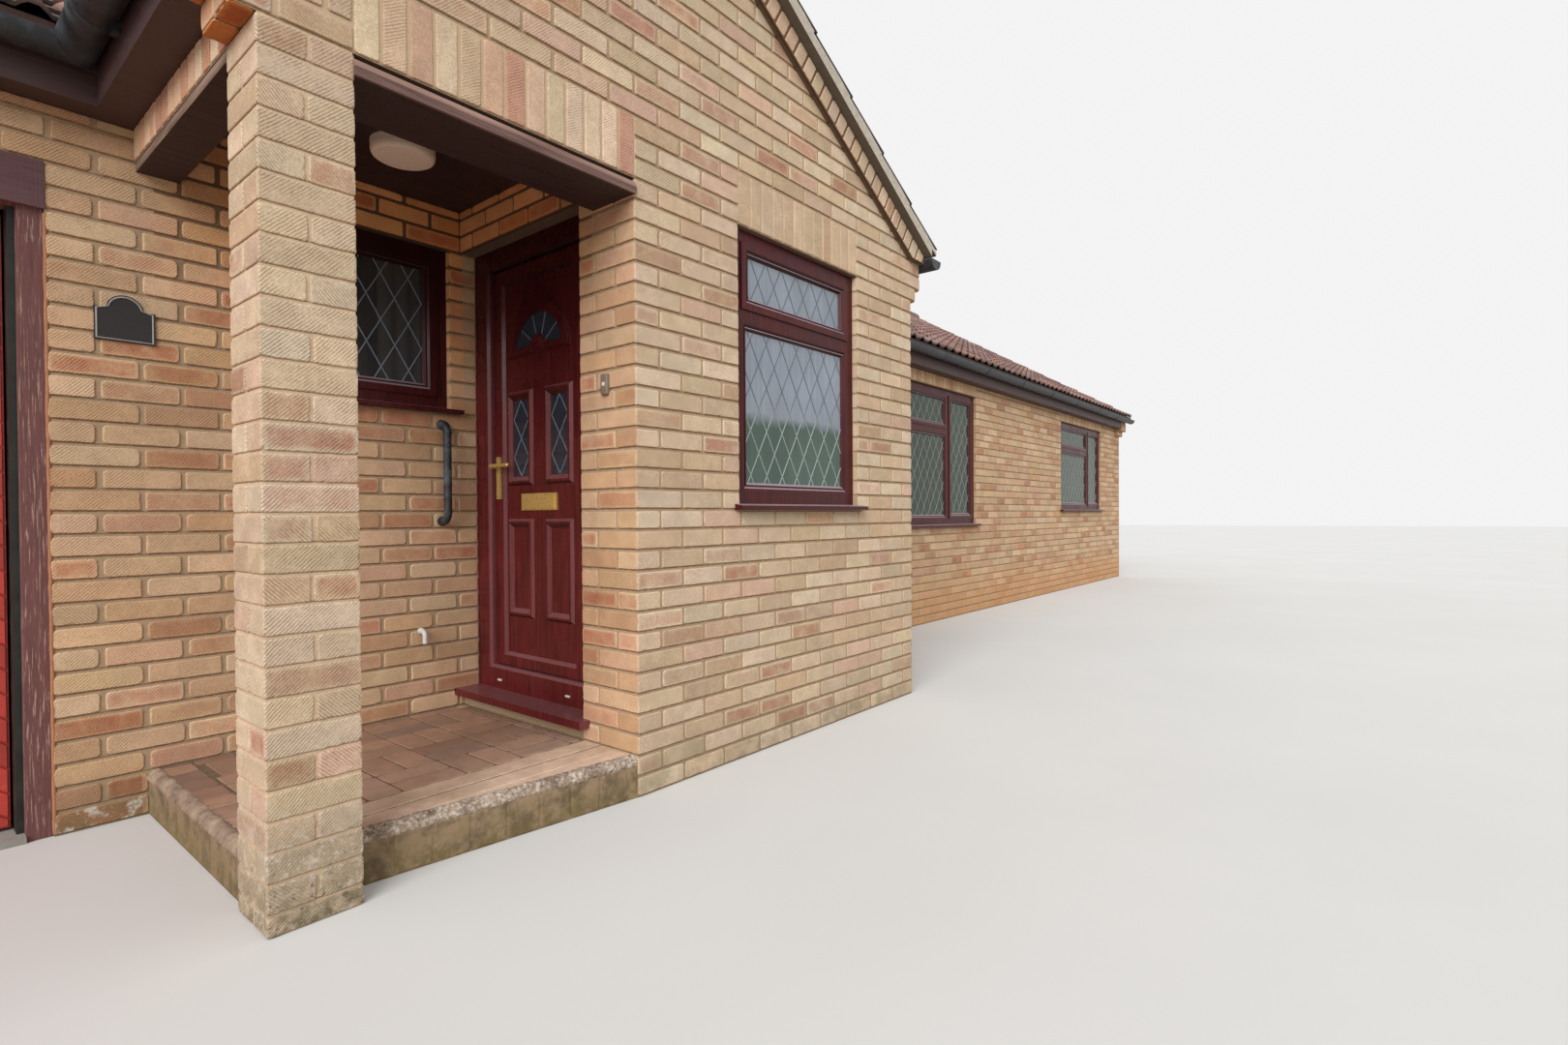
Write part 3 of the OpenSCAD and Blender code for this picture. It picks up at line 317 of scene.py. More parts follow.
def red_board():
    """Red painted boards with a soft sheen and worn edges."""
    s = Shader("red_board", 0.42)
    tone, _ = s.tone()
    cloud = s.noise(6, 5, 0.6)
    fine = s.grain((14, 90, 90), 4, 0.6)
    c = s.mottle(s.mottle(tone, cloud, 0.84, 1.12), fine, 0.92, 1.06)
    c = s.paint(c, (214, 140, 128), s.span(s.noise(50, 5, 0.7), 0.62, 0.72, 0, 0.4))
    return s.done(c, s.span(cloud, 0.3, 0.7, 0.35, 0.55), (fine, 0.0003))


def porch_timber():
    """Dark stained timber: a pale worn top on the lintel's fillet, grey below it, and a weathered side strip."""
    s = Shader("porch_timber", 0.7)
    x, y, z = s.axes()
    along = s.grain((3, 60, 60), 5, 0.7, 0.3)
    across = s.grain((60, 3, 60), 5, 0.7, 0.3)
    c = s.mottle(lin(46, 24, 22), along, 0.75, 1.2)
    grey = s.mix(s.span(along, 0.35, 0.65), lin(128, 98, 90), lin(84, 58, 52))
    c = s.mix(s.below(y, GY - 0.004), c, grey)
    worn = s.mix(s.span(along, 0.36, 0.60), lin(156, 126, 112), lin(112, 80, 70))
    c = s.mix(s.times(s.below(y, GY + 0.013), s.span(z, 2.211, 2.215)), c, worn)
    side = s.mix(s.span(across, 0.36, 0.62), lin(156, 134, 116), lin(96, 72, 60))
    c = s.mix(s.below(x, GX0 + 0.004), c, side)
    return s.done(c, s.span(along, 0.3, 0.7, 0.5, 0.75), (along, 0.0008), (across, 0.0006))


def rosewood(name, base, up, bloom=0.75, gloss=0.34, edge=0.0):
    """Foiled plastic with a printed rosewood grain, with painted highlights on the faces that look up and painted shade
    on those that look down.
    """
    s = Shader(name, gloss)
    x, y, z = s.axes()
    nx, ny, nz = s.facing()
    grain = s.grain((150, 150, 4), 4, 0.6, 0.9)
    cloud = s.noise(7, 4, 0.6)
    c = s.mix(s.span(grain, 0.35, 0.68), lin(*base), lin(*[v * 0.55 for v in base]))
    c = s.mottle(c, cloud, 0.82, 1.14)
    # Painted highlight on the door's faces that look to the open front and painted shade on those that look back; on
    # the windows, painted shade on the faces that look to either side
    if edge:
        c = s.paint(c, (158, 104, 106), s.span(ny, -0.75, -0.25, edge, 0))
        c = s.paint(c, (44, 14, 18), s.span(ny, 0.25, 0.75, 0, edge))
    else:
        c = s.paint(c, (60, 16, 20), s.span(s.math("ABSOLUTE", nx), 0.10, 0.30, 0, 0.35))
    # Painted highlight on the faces that look up, and painted shade, near black, on those that look down
    c = s.paint(c, up, s.span(nz, 0.10, 0.35), bloom)
    c = s.mix(s.span(nz, -0.35, -0.10, 0.6, 0), c, (0.01, 0.004, 0.004, 1))
    # Painted shade, darker towards the ceiling of the porch
    porch = s.times(s.above(y, GY + 0.2), s.below(x, CX + 0.2), s.span(z, 1.5, 2.2, 0, 0.7))
    c = s.mix(porch, c, (0.012, 0.003, 0.004, 1))
    s.b.inputs["Specular IOR Level"].default_value = 0.22
    return s.done(c, s.span(cloud, 0.3, 0.7, gloss - 0.08, gloss + 0.12), (grain, 0.0004))


def plain(name, base, rough, tint, scale=60, bump=0.0006, metal=0.0):
    """One colour, varied a little between tint and 2 - tint."""
    s = Shader(name, rough)
    n = s.noise(scale, 5, 0.65)
    fine = s.noise(scale * 7, 3, 0.6)
    c = s.mottle(lin(*base), n, tint, 2 - tint)
    s.b.inputs["Metallic"].default_value = metal
    return s.done(c, s.span(n, 0.2, 0.8, max(rough - 0.1, 0.05), rough + 0.12), (n, bump), (fine, bump * 0.3))


def weathered(name, base, pale, rough, amount):
    """Old plastic or metal with a pale bloom on the faces that look up."""
    s = Shader(name, rough)
    _, _, nz = s.facing()
    bloom = s.noise(14, 6, 0.7)
    fine = s.noise(220, 3, 0.6)
    c = s.paint(lin(*base), pale, s.span(bloom, 0.42, 0.68), s.span(nz, -0.8, 0.8, 0.35, 1), amount)
    c = s.mottle(c, fine, 0.86, 1.1)
    return s.done(c, s.span(bloom, 0.3, 0.7, rough - 0.12, rough + 0.2), (bloom, 0.0012), (fine, 0.0003))


def roof_slab(name, axis):
    """Undercloak below, bedding mortar on the verge that faces along axis, and painted shade, dark brown, on the other
    upright faces such as the eaves ends.
    """
    s = Shader(name, 0.9)
    n = s.facing()
    lump = s.noise(34, 5, 0.7)
    sand = s.noise(240, 3, 0.7)
    mortar = s.mottle(lin(192, 184, 170), lump, 0.76, 1.08)
    mortar = s.paint(mortar, (190, 130, 74), s.span(s.noise(70, 5, 0.7), 0.60, 0.70, 0, 0.7))
    # Painted shade: the eaves ends under the tiles, and other upright faces, are dark brown
    ends = s.mottle(lin(70, 48, 40), lump, 0.7, 1.15)
    c = s.mix(s.above(s.math("ABSOLUTE", n[axis]), 0.7), ends, mortar)
    c = s.mix(s.span(n[2], -0.3, -0.2, 1, 0), c, s.vary(lin(104, 94, 82), lump, 0.8, 1.1))
    return s.done(c, 0.92, (lump, 0.004), (sand, 0.0008))


def tile_material():
    s = Shader("roof_tile", 0.85, uv=True)
    tone, _ = s.tone()
    obj = s.space(uv=False)
    sand = s.noise(300, 4, 0.7, obj)
    age = s.noise(5, 6, 0.65, obj)
    spot = s.noise(55, 5, 0.7, obj)
    c = s.mottle(s.mottle(tone, sand, 0.78, 1.16), age, 0.78, 1.14)
    c = s.paint(c, (196, 176, 128), s.span(spot, 0.62, 0.70, 0, 0.7))
    rust = s.noise(38, 5, 0.7, s.space(rot=(0.4, 0.2, 0.6), uv=False))
    c = s.paint(c, (196, 128, 70), s.span(rust, 0.68, 0.76, 0, 0.35))
    c = s.paint(c, (96, 94, 58), s.span(s.noise(18, 6, 0.7, obj), 0.55, 0.66), s.span(age, 0.45, 0.6), 0.6)
    return s.done(c, 0.88, (spot, 0.002), (sand, 0.0008))


def cement_material():
    s = Shader("cement", 0.88)
    _, y, z = s.axes()
    lump = s.noise(30, 6, 0.7)
    sand = s.noise(320, 4, 0.7)
    c = s.mix(s.span(s.noise(7, 5, 0.6), 0.38, 0.62), lin(230, 202, 178), lin(208, 180, 154))
    # The cracks at the border's two edges
    wave = s.math("ADD", y, s.times(s.noise(30, 4, 0.6), 0.006))
    for q in (-4.768, -4.662):
        c = s.paint(c, (64, 48, 38), s.span(wave, q - 0.003, q - 0.001), s.span(wave, q + 0.003, q + 0.005, 1, 0),
                    s.span(s.noise(24, 4, 0.7), 0.34, 0.50, 0.2, 0.9))
    c = s.mottle(s.mottle(c, lump, 0.84, 1.10), sand, 0.86, 1.08)
    c = s.mix(s.above(y, -4.6595), c, s.mottle(lin(112, 92, 74), lump, 0.8, 1.2))
    # Riser: brown and mossy towards the ground
    side = s.span(z, 0.125, 0.135, 1, 0)
    c = s.paint(c, (142, 120, 90), side, 0.9)
    c = s.paint(c, (88, 72, 54), side, s.span(s.noise(11, 5, 0.7), 0.46, 0.62), 0.75)
    c = s.paint(c, (104, 94, 46), s.span(z, 0.02, 0.11, 1, 0), s.span(lump, 0.40, 0.58), 0.7)
    return s.done(c, 0.9, (lump, 0.0022), (sand, 0.0010))


def nosing_material():
    """The front nosing is crusted with lichen. The left one is plain worn brick."""
    s = Shader("nosing_lichen", 0.92)
    x, _, _ = s.axes()
    lump = s.noise(60, 6, 0.75)
    patch = s.noise(9, 5, 0.7)
    c = s.mix(s.span(patch, 0.4, 0.6), lin(168, 146, 124), lin(126, 104, 88))
    left = s.mix(s.below(x, GX0 + 0.05), (1, 1, 1, 1), (0.12, 0.12, 0.12, 1))
    c = s.paint(c, (214, 206, 192), s.span(s.noise(80, 6, 0.75), 0.47, 0.58), s.span(patch, 0.40, 0.62, 1, 0.35), left)
    c = s.paint(c, (86, 72, 60), s.span(s.noise(48, 5, 0.7, s.space(rot=(0.7, 0.1, 0.3))), 0.58, 0.66, 0, 0.7))
    return s.done(c, 0.93, (lump, 0.004), (s.noise(300, 3, 0.7), 0.0012))


def paver_material():
    s = Shader("pavers", 0.8, uv=True)
    tone, _ = s.tone()
    _, y, _ = s.axes()
    obj = s.space(uv=False)
    worn = s.noise(22, 6, 0.7, obj)
    sand = s.noise(330, 4, 0.7, obj)
    c = s.mottle(s.mottle(tone, worn, 0.80, 1.16), sand, 0.86, 1.08)
    c = s.paint(c, (196, 178, 160), s.span(s.noise(130, 5, 0.75, obj), 0.62, 0.70, 0, 0.55))
    c = s.paint(c, (134, 110, 90), s.span(s.noise(7, 6, 0.7, obj), 0.42, 0.62), 0.50)
    c = s.paint(c, (196, 164, 144), s.span(y, -4.66, -4.25, 0.75, 0), s.span(worn, 0.3, 0.6, 0.5, 1))
    return s.done(c, s.span(worn, 0.3, 0.7, 0.62, 0.86), (worn, 0.0012), (sand, 0.0006))


def glass_material(name, tint, alpha, low=None):
    """Window glass, streaky and slightly wavy. low gives the colour of a painted reflection on the lower part and the
    height of its wavy edge.
    """
    s = Shader(name, 0.06)
    wobble = s.noise(3.2, 2, 0.5)
    c = lin(*tint)
    if low:
        _, _, z = s.axes()
        # Painted reflection: a darker colour below a wavy edge
        edge = s.math("ADD", z, s.times(s.noise(9, 4, 0.6), 0.10))
        c = s.mix(s.span(edge, low[1], low[2]), lin(*low[0]), c)
    c = s.mottle(c, s.grain((110, 110, 2), 3, 0.6), 0.86, 1.12)
    c = s.vary(c, s.span(wobble, 0.35, 0.65), 0.88, 1.10)
    s.b.inputs["Alpha"].default_value = alpha
    s.b.inputs["IOR"].default_value = 1.5
    return s.done(c, s.span(wobble, 0.3, 0.7, 0.04, 0.10), (wobble, 0.0006))


def lead_material():
    """Lead strips: dull dark grey above, brighter against the darker glass below."""
    s = Shader("lead_strip", 0.55)
    x, y, z = s.axes()
    fine = s.noise(90, 4, 0.6)
    c = s.mix(s.span(z, 1.44, 1.54), lin(150, 160, 152), lin(94, 102, 110))
    c = s.paint(c, (146, 156, 148), s.above(y, GY + 0.3))
    c = s.paint(c, (112, 124, 136), s.below(x, CX + 0.3))
    return s.done(s.mottle(c, fine, 0.84, 1.12), 0.55, (fine, 0.0006))


def cloth_material(name, base):
    s = Shader(name, 0.9)
    weave = s.grain((900, 900, 300), 2, 0.5)
    c = s.mottle(lin(*base), weave, 0.9, 1.05)
    c = s.mottle(c, s.noise(9, 3, 0.5), 0.92, 1.04)
    s.b.inputs["Sheen Weight"].default_value = 0.3
    return s.done(c, 0.92, (weave, 0.0003))


M = {
    "brick": wall_brick(), "pier": pier_brick(), "mortar": mortar_material(), "cement": cement_material(),
    "nosing": nosing_material(), "paver": paver_material(), "tile": tile_material(), "lintel": porch_timber(),
    "boards": painted_boards(), "garage_wood": garage_timber(), "red_board": red_board(), "lead": lead_material(),
    "bedding": roof_slab("roof_bedding", 0),
    "gable_bedding": roof_slab("gable_bedding", 1),
    "concrete": plain("concrete", (150, 147, 140), 0.9, 0.88, 20, 0.002),
    "gutter": weathered("gutter_plastic", (34, 36, 40), (112, 120, 128), 0.5, 0.75),
    # Each rosewood's third colour and its bloom give its painted highlight on the faces that look up; the door's edge
    # is the strength of its painted side light and shade
    "window": rosewood("window_rosewood", (88, 28, 29), (172, 150, 158)),
    "door": rosewood("door_rosewood", (110, 36, 38), (150, 108, 112), bloom=0.40, gloss=0.26, edge=0.32),
    "brass": plain("door_brass", (226, 196, 122), 0.3, 0.9, 90, 0.0002, 0.6),
    "steel_dark": weathered("garage_steel", (17, 22, 18), (92, 98, 80), 0.45, 0.22),
    "steel": plain("lift_steel", (150, 150, 152), 0.42, 0.88, 60, 0.0004, 1.0),
    "red": plain("garage_red", (150, 46, 40), 0.42, 0.9, 26, 0.0005),
    "lamp": plain("lamp_plastic", (250, 236, 222), 0.6, 0.95, 70, 0.0005),
    "rail": weathered("rail_plastic", (40, 42, 46), (124, 134, 146), 0.55, 0.7),
    "plaque": plain("plaque_enamel", (44, 40, 40), 0.4, 0.85, 80),
    "white": plain("white_plastic", (206, 204, 198), 0.45, 0.92, 60, 0.0004),
    "sealant": plain("old_sealant", (164, 112, 80), 0.8, 0.82, 60, 0.001),
    "taupe": plain("taupe_plastic", (128, 112, 98), 0.55, 0.9, 60, 0.0004),
    "rim": plain("plaque_rim", (168, 166, 160), 0.55, 0.82, 90, 0.0008),
    # The window glass carries a darker green painted reflection on its lower part
    "glass": glass_material("window_glass", (150, 160, 174), 0.82, ((74, 98, 88), 1.48, 1.53)),
    "wing_glass": glass_material("wing_glass", (46, 62, 46), 0.78),
    "dark_glass": glass_material("porch_glass", (70, 70, 72), 0.55),
    "door_glass": glass_material("door_glass", (52, 58, 70), 0.85),
    "net": cloth_material("net_curtain", (214, 214, 212)),
    "curtain": cloth_material("curtain", (222, 218, 208)),
}

# The frame's own nodes, by their material
DRESS = {
    "mortar": """left_end_wall garage_wall_over porch_back_wall door_wall_over gable_front_wall gable_top
                 gable_side_wall wing_wall right_end_wall rear_wall porch_side_wall porch_pier""",
    "window": "porch_window gable_window wing_window_1 wing_window_2 rear_window",
    "boards": "eaves_boards_left eaves_boards_right eaves_boards_rear",
    "gutter": "gutter_left gutter_right gutter_rear",
    "bedding": "main_roof_front main_roof_rear", "gable_bedding": "gable_roof", "tile": "ridge_tiles",
    "concrete": "floor_slab", "cement": "porch_floor", "lintel": "porch_timbers", "lamp": "porch_light",
    "glass": "gable_glass", "wing_glass": "wing_glass rear_glass", "dark_glass": "porch_glass",
    "door": "door_frame front_door", "door_glass": "door_glass", "brass": "door_furniture",
    "garage_wood": "garage_frame", "steel_dark": "garage_posts", "steel": "garage_lift", "red": "garage_door",
    "rail": "grab_rail", "plaque": "number_plaque",
}
for key, nodes in DRESS.items():
    for node in nodes.split():
        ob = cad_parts[node]
        ob.data.materials.clear()
        ob.data.materials.append(M[key])


# Mesh building

def link(name, data):
    """A new object in the scene."""
    ob = bpy.data.objects.new(name, data)
    bpy.context.scene.collection.objects.link(ob)
    return ob


def place(name, me, key, body, smooth):
    """Puts a mesh into the scene with its material and on its body."""
    ob = link(name, me)
    me.materials.append(M[key])
    if smooth is not None:
        me.shade_smooth()
        me.set_sharp_from_angle(angle=math.radians(smooth))
    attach(ob, body)
    return ob


def quads(rings, n, closed=True):
    """Faces between rings of n points each."""
    return [[k * n + i, k * n + (i + 1) % n, (k + 1) * n + (i + 1) % n, (k + 1) * n + i]
            for k in range(rings - 1) for i in range(n if closed else n - 1)]


def caps(rings, n):
    """The two end faces of rings of n points each."""
    return [list(range(n))[::-1], list(range((rings - 1) * n, rings * n))]


def sheet_quads(rows, n):
    return [[r * n + i, (r + 1) * n + i, (r + 1) * n + i + 1, r * n + i + 1]
            for r in range(rows - 1) for i in range(n - 1)]


class Build:
    def __init__(self):
        self.v, self.f, self.uv, self.col = [], [], [], []

    def add(self, pts, faces, uvs=None, col=GREY):
        k = len(self.v)
        self.v += [tuple(p) for p in pts]
        self.f += [[i + k for i in f] for f in faces]
        self.uv += uvs or [(p[0] + p[1], p[2]) for p in pts]
        self.col += col if isinstance(col, list) else [tuple(col)] * len(pts)

    def obj(self, name, key, slot=None, body="house", smooth=None):
        me = bpy.data.meshes.new(name)
        me.from_pydata(self.v, [], self.f)
        idx = np.empty(len(me.loops), dtype=np.int32)
        me.loops.foreach_get("vertex_index", idx)
        me.uv_layers.new(name="flat").data.foreach_set("uv", np.array(self.uv, dtype=np.float32)[idx].ravel())
        a = me.color_attributes.new(name="tone", type="FLOAT_COLOR", domain="POINT")
        a.data.foreach_set("color", np.array(self.col, dtype=np.float32).ravel())
        me.update()
        return place(name, me, key, body, smooth)


def bisect(bm, co, no, clear):
    geom = bm.verts[:] + bm.edges[:] + bm.faces[:]
    bmesh.ops.bisect_plane(bm, geom=geom, plane_co=co, plane_no=no, clear_outer=clear)


def cut(ob, planes):
    """Removes the part of a piece on the side that each plane's normal points to."""
    bm = bmesh.new()
    bm.from_mesh(ob.data)
    for co, no in planes:
        bisect(bm, co, no, True)
    bm.to_mesh(ob.data)
    bm.free()


def outline(u0, u1, v0, v1, step, r):
    """Points round a rectangle, with its corners cut at r."""
    p = []
    for a, b in (((u0, v0), (u1, v0)), ((u1, v0), (u1, v1)), ((u1, v1), (u0, v1)), ((u0, v1), (u0, v0))):
        a, b = Vector(a), Vector(b)
        d = (b - a).length
        e = (b - a) / d
        if r <= 0:
            n = max(1, round(d / step))
            p += [a + e * (d * i / n) for i in range(n)]
            continue
        n = max(1, round((d - 2 * r) / step))
        side = Vector((-e.y, e.x))
        p.append(a + (e + side) * (0.32 * r))
        p += [a + e * (r + (d - 2 * r) * i / n) for i in range(n + 1)]
    return p


def brick(b, O, U, V, N, u0, u1, v0, v1, col, proud=0.0042, step=FINE, rag=0.0020, lean=None, soft=0.008):
    """One brick face with ragged, rounded edges, standing a little proud of its mortar."""
    if u1 - u0 < 0.006 or v1 - v0 < 0.006:
        return
    fine = step < 0.03
    r = min(rng.uniform(0.5, 1.4) * soft, 0.4 * min(u1 - u0, v1 - v0)) if fine else 0
    pts = outline(u0, u1, v0, v1, step, r)
    n = len(pts)
    jit = [rag * rng.random() for _ in pts]
    for _ in range(rng.randrange(0, 3)):
        jit[rng.randrange(n)] += rag * 1.6
    # Each ring's height, inset, share of the raggedness and share of the flash
    rings = [(-0.001, 0.0, 0.0, 0)]
    rings += [(proud * 0.6, 0.0003, 0.7, 0), (proud, 0.0026, 1.0, 0)] if fine else [(proud, 0.0028, 1.0, 1)]
    if fine and col[3] > 0.3 and min(u1 - u0, v1 - v0) > 0.05:
        rings.append((proud, rng.uniform(0.008, 0.016), 1.5, 1))
    if lean is None:
        lean = math.radians(rng.choice((44, 46, 48, 45, 43, -46)))
    ca, sa = math.cos(lean), math.sin(lean)
    ou, ov = rng.random() * 7, rng.random() * 7
    verts, uvs, cols = [], [], []
    um, vm, hu, hv = (u0 + u1) / 2, (v0 + v1) / 2, (u1 - u0) / 2, (v1 - v0) / 2
    for h, inset, k, f in rings:
        for (u, v), j in zip(pts, jit):
            d = inset + k * j
            uu, vv = um + (u - um) * max(1 - d / hu, 0.1), vm + (v - vm) * max(1 - d / hv, 0.1)
            verts.append(O + U * uu + V * vv + N * h)
            uvs.append((uu * ca + vv * sa + ou, -uu * sa + vv * ca + ov))
            cols.append((col[0], col[1], col[2], col[3] * f))
    b.add(verts, quads(len(rings), n) + caps(len(rings), n)[1:], uvs, cols)


# Brick colours of the sunlit gable, of the sheltered walls and of the wing
PALE = [((208, 186, 158), 6), ((202, 179, 150), 6), ((212, 192, 166), 5), ((198, 172, 142), 3), ((206, 176, 152), 2)]
STOOD = [((208, 184, 154), 5), ((204, 179, 149), 4)]
LINTEL = [((210, 182, 152), 5), ((206, 168, 142), 3), ((198, 152, 130), 2), ((216, 194, 166), 2)]
GOLD = [((212, 178, 142), 6), ((204, 168, 130), 5), ((216, 184, 150), 5), ((196, 156, 120), 2), ((208, 170, 138), 2)]
ORANGE = [((250, 170, 100), 2), ((255, 186, 124), 1)]
# Pale pinkish striped brick of the strip over the porch side, made brighter with painted light for the sun its face
# catches
LIT_STRIP = [((226, 190, 156), 3), ((208, 160, 130), 2), ((236, 208, 176), 2)]
WARM = [((204, 174, 140), 6), ((198, 166, 130), 5), ((208, 180, 148), 4), ((192, 156, 120), 2), ((200, 164, 134), 2)]
CLAY = [((170, 132, 108), 4), ((158, 120, 98), 4), ((148, 112, 92), 3), ((178, 140, 114), 2), ((140, 112, 96), 2)]
TILES = [((118, 92, 88), 5), ((110, 86, 82), 4), ((128, 104, 98), 3), ((98, 78, 74), 3), ((126, 92, 80), 2)]


def pick(pal, odds=0.17):
    """A brick's colour from a weighted palette, with the strength of its red flash as alpha."""
    total = sum(w for c, w in pal)
    k = rng.random() * total
    for c, w in pal:
        k -= w
        if k <= 0:
            break
    g = 1 + rng.uniform(-0.045, 0.045)
    flash = rng.uniform(0.35, 0.95) if rng.random() < (0.27 if pal is GOLD else odds) else 0.0
    return lin(*[min(255, v * g * (1 + rng.uniform(-0.012, 0.012))) for v in c], flash)


def axes_of(N):
    return Z.cross(N), Z, N


def lay(b, O, N, a, c, z0, z1, pal, holes=(), ends=(0.0, 0.0), phase=0.0, near=-99.0, widen=None, proud=0.0042,
        perp=0.005, soft=0.008):
    """Lays stretcher bond over a wall face from a to c along it, around the holes. Beyond near it is finer."""
    U, V, N = axes_of(N)
    for k in range(math.floor(z0 / COURSE + 1e-6), math.ceil(z1 / COURSE - 1e-6)):
        v0, v1 = max(k * COURSE + 0.0055, z0 + 0.002), min(k * COURSE + 0.0695, z1)
        if v1 - v0 < 0.012:
            continue
        mid = (v0 + v1) / 2
        w0, w1 = widen(k) if widen else (0, 0)
        free = [(a - w0, c + w1, ends[0], ends[1])]
        for h0, h1, q0, q1 in holes:
            if q0 < mid < q1:
                new = []
                for s, t, e0, e1 in free:
                    if h1 <= s or h0 >= t:
                        new.append((s, t, e0, e1))
                        continue
                    if h0 - s > 0.02:
                        new.append((s, h0, e0, 0.0))
                    if t - h1 > 0.02:
                        new.append((h1, t, 0.0, e1))
                free = new
        shift = phase + (k % 2) * HALF_BRICK
        for s, t, e0, e1 in free:
            m = math.ceil((s + 0.05 - shift) / BRICK)
            start = s - e0
            while True:
                j = shift + BRICK * m
                last = j > t - 0.05
                q = 0.0 if last else perp * rng.uniform(0.8, 1.3)
                brick(b, O, U, V, N, start, t + e1 if last else j - q, v0, v1, pick(pal), proud,
                      FINE if start > near else COARSE, soft=soft)
                if last:
                    break
                start = j + q
                m += 1


def soldiers(b, O, N, a, c, z0, z1, pal, step=FINE):
    """Bricks that stand on end over an opening, from a to c."""
    U, V, N = axes_of(N)
    n = round((c - a) / COURSE)
    p = (c - a) / n
    for i in range(n):
        brick(b, O, U, V, N, a + i * p + 0.005, a + (i + 1) * p - 0.005, z0 + 0.004, z1, pick(pal, 0.07), 0.0035,
              step, lean=math.radians(rng.choice((34, 30, -32))))


def reveal(b, O, N, depth, z0, z1, pal, step=FINE):
    """Brick ends on the side of an opening. O is on the wall face and N looks into the opening."""
    U, V, N = axes_of(N)
    for k in range(round(z0 / COURSE), round(z1 / COURSE)):
        brick(b, O, U, V, N, min(0.002, depth), depth if depth > 0 else -0.002, k * COURSE + 0.005,
              k * COURSE + 0.070, pick(pal), 0.0015, step, 0.0008)


def jambs(b, y, x0, x1, z0, pal, step=FINE):
    """Brick ends on both sides of a window in a front wall."""
    reveal(b, Vector((x1, y, 0)), -X, -0.028, z0, HEAD, pal, step)
    reveal(b, Vector((x0, y, 0)), X, 0.028, z0, HEAD, pal, step)


def corbels(b, corner, D, F, thick, pal, step=FINE):
    """Side faces and undersides of the stepped corbel courses under a kneeler."""
    def spread(U):
        """The wall's thickness along U, from behind its face."""
        return (1, thick) if U.dot(-F) > 0 else (-1, -thick)

    U, V, N = axes_of(D)
    DV = (-Z).cross(D)
    low = 0.0
    for i, (q0, q1) in enumerate(((0.0, 0.075), (0.075, 0.15), (0.15, 0.225), (0.225, 0.265))):
        q0, q1 = HEAD + q0, HEAD + q1
        out = KNEEL if i else KNEEL / 2
        sign, end = spread(U)
        a, c = sorted((0.002 * sign, end))
        cuts = [a, c] if i % 2 else [a, (a + c) / 2 - 0.005, (a + c) / 2 + 0.005, c]
        for s, t in zip(cuts[::2], cuts[1::2]):
            brick(b, corner + D * out, U, V, N, s, t, q0 + 0.005, q1 - 0.005, pick(pal), 0.004, step)
        if out > low:
            sign, end = spread(DV)
            a, c = sorted((0.003 * sign, end))
            for p, q in ((a, (a + c) / 2 - 0.004), ((a + c) / 2 + 0.004, c)):
                brick(b, corner + Z * q0, D, DV, -Z, low + 0.001, out + 0.003, p, q, pick(ORANGE), 0.003, step)
            low = out


def raking(name, centre, U0, F, half, high, pal, step=FINE):
    """The leaning bricks of the verge band. U0 runs along the gable with U0 x Z = F."""
    b = Build()
    e = half + KNEEL
    gap = 0.0062
    for side in (-1, 1):
        along = (U0 * COS + Z * SIN * -side).normalized()
        up = (U0 * (SIN * side) + Z * COS).normalized()
        # O is the apex of the band's upper edge; u runs to the right on both slopes
        O = centre + Z * high + F * BAND
        length = e / COS
        n = round(length / COURSE)
        p = length / n
        for i in range(n):
            u0, u1 = sorted((side * (i * p + gap), side * ((i + 1) * p - gap)))
            brick(b, O, along, up, F, u0, u1, -0.1005, -0.002, pick(pal), 0.004, step)
    ob = b.obj(name, "brick", "brickwork")
    cut(ob, [(centre + Z * 2.477, -Z), (centre + U0 * e, U0), (centre - U0 * e, -U0)])


def gable_cut(ob, centre, U0, high):
    """Cuts a gable's bricks under the band."""
    low = high - 0.11836 + 0.02
    cut(ob, [(centre + Z * low, (U0 * SIN + Z * COS)), (centre + Z * low, (U0 * -SIN + Z * COS))])


# Brickwork

E = 0.0035  # how far end bricks reach past a corner
C = Vector((CX, YF, 0))
G = Vector((GXM, GY, 0))
win_u0, win_u1 = GABLE_WIN_X, GABLE_WIN_X + GABLE_WIN


def kneeler_width(k):
    z = k * COURSE
    if z < HEAD - 0.01:
        return (0, 0)
    w = KNEEL if z > 2.32 else KNEEL / 2
    return (w, w)


b = Build()
O = Vector((CX, GY, 0))
lay(b, O, -Y, 0, GX1 - CX, 0, HEAD, PALE, [(win_u0, win_u1, SILL, HEAD)], (E, E))
jambs(b, GY, CX + win_u0, CX + win_u1, SILL + COURSE, PALE)
b.obj("bricks_gable", "brick", "brickwork")

b = Build()
lay(b, O, -Y, GX0 - CX, GX1 - CX, HEAD, 3.5, PALE, [(-0.948, 0.0, HEAD, 2.475), (0.5575, 1.4575, HEAD, 2.475)],
    (E, E), widen=kneeler_width)
soldiers(b, O, -Y, -0.948, 0.0, HEAD, STOOD_TOP, LINTEL)
soldiers(b, O, -Y, 0.5575, 1.4575, HEAD, STOOD_TOP, STOOD)
ob = b.obj("bricks_gable_top", "brick", "brickwork")
gable_cut(ob, G, X, GAPEX - DROP)
raking("bricks_gable_verge", G, X, -Y, GABLE_HALF, GAPEX - DROP, PALE)
b = Build()
corbels(b, Vector((GX0, GY, 0)), -X, -Y, PIER, GOLD)
corbels(b, Vector((GX1, GY, 0)), X, -Y, PIER, GOLD)
b.obj("bricks_gable_corbels", "brick", "brickwork")

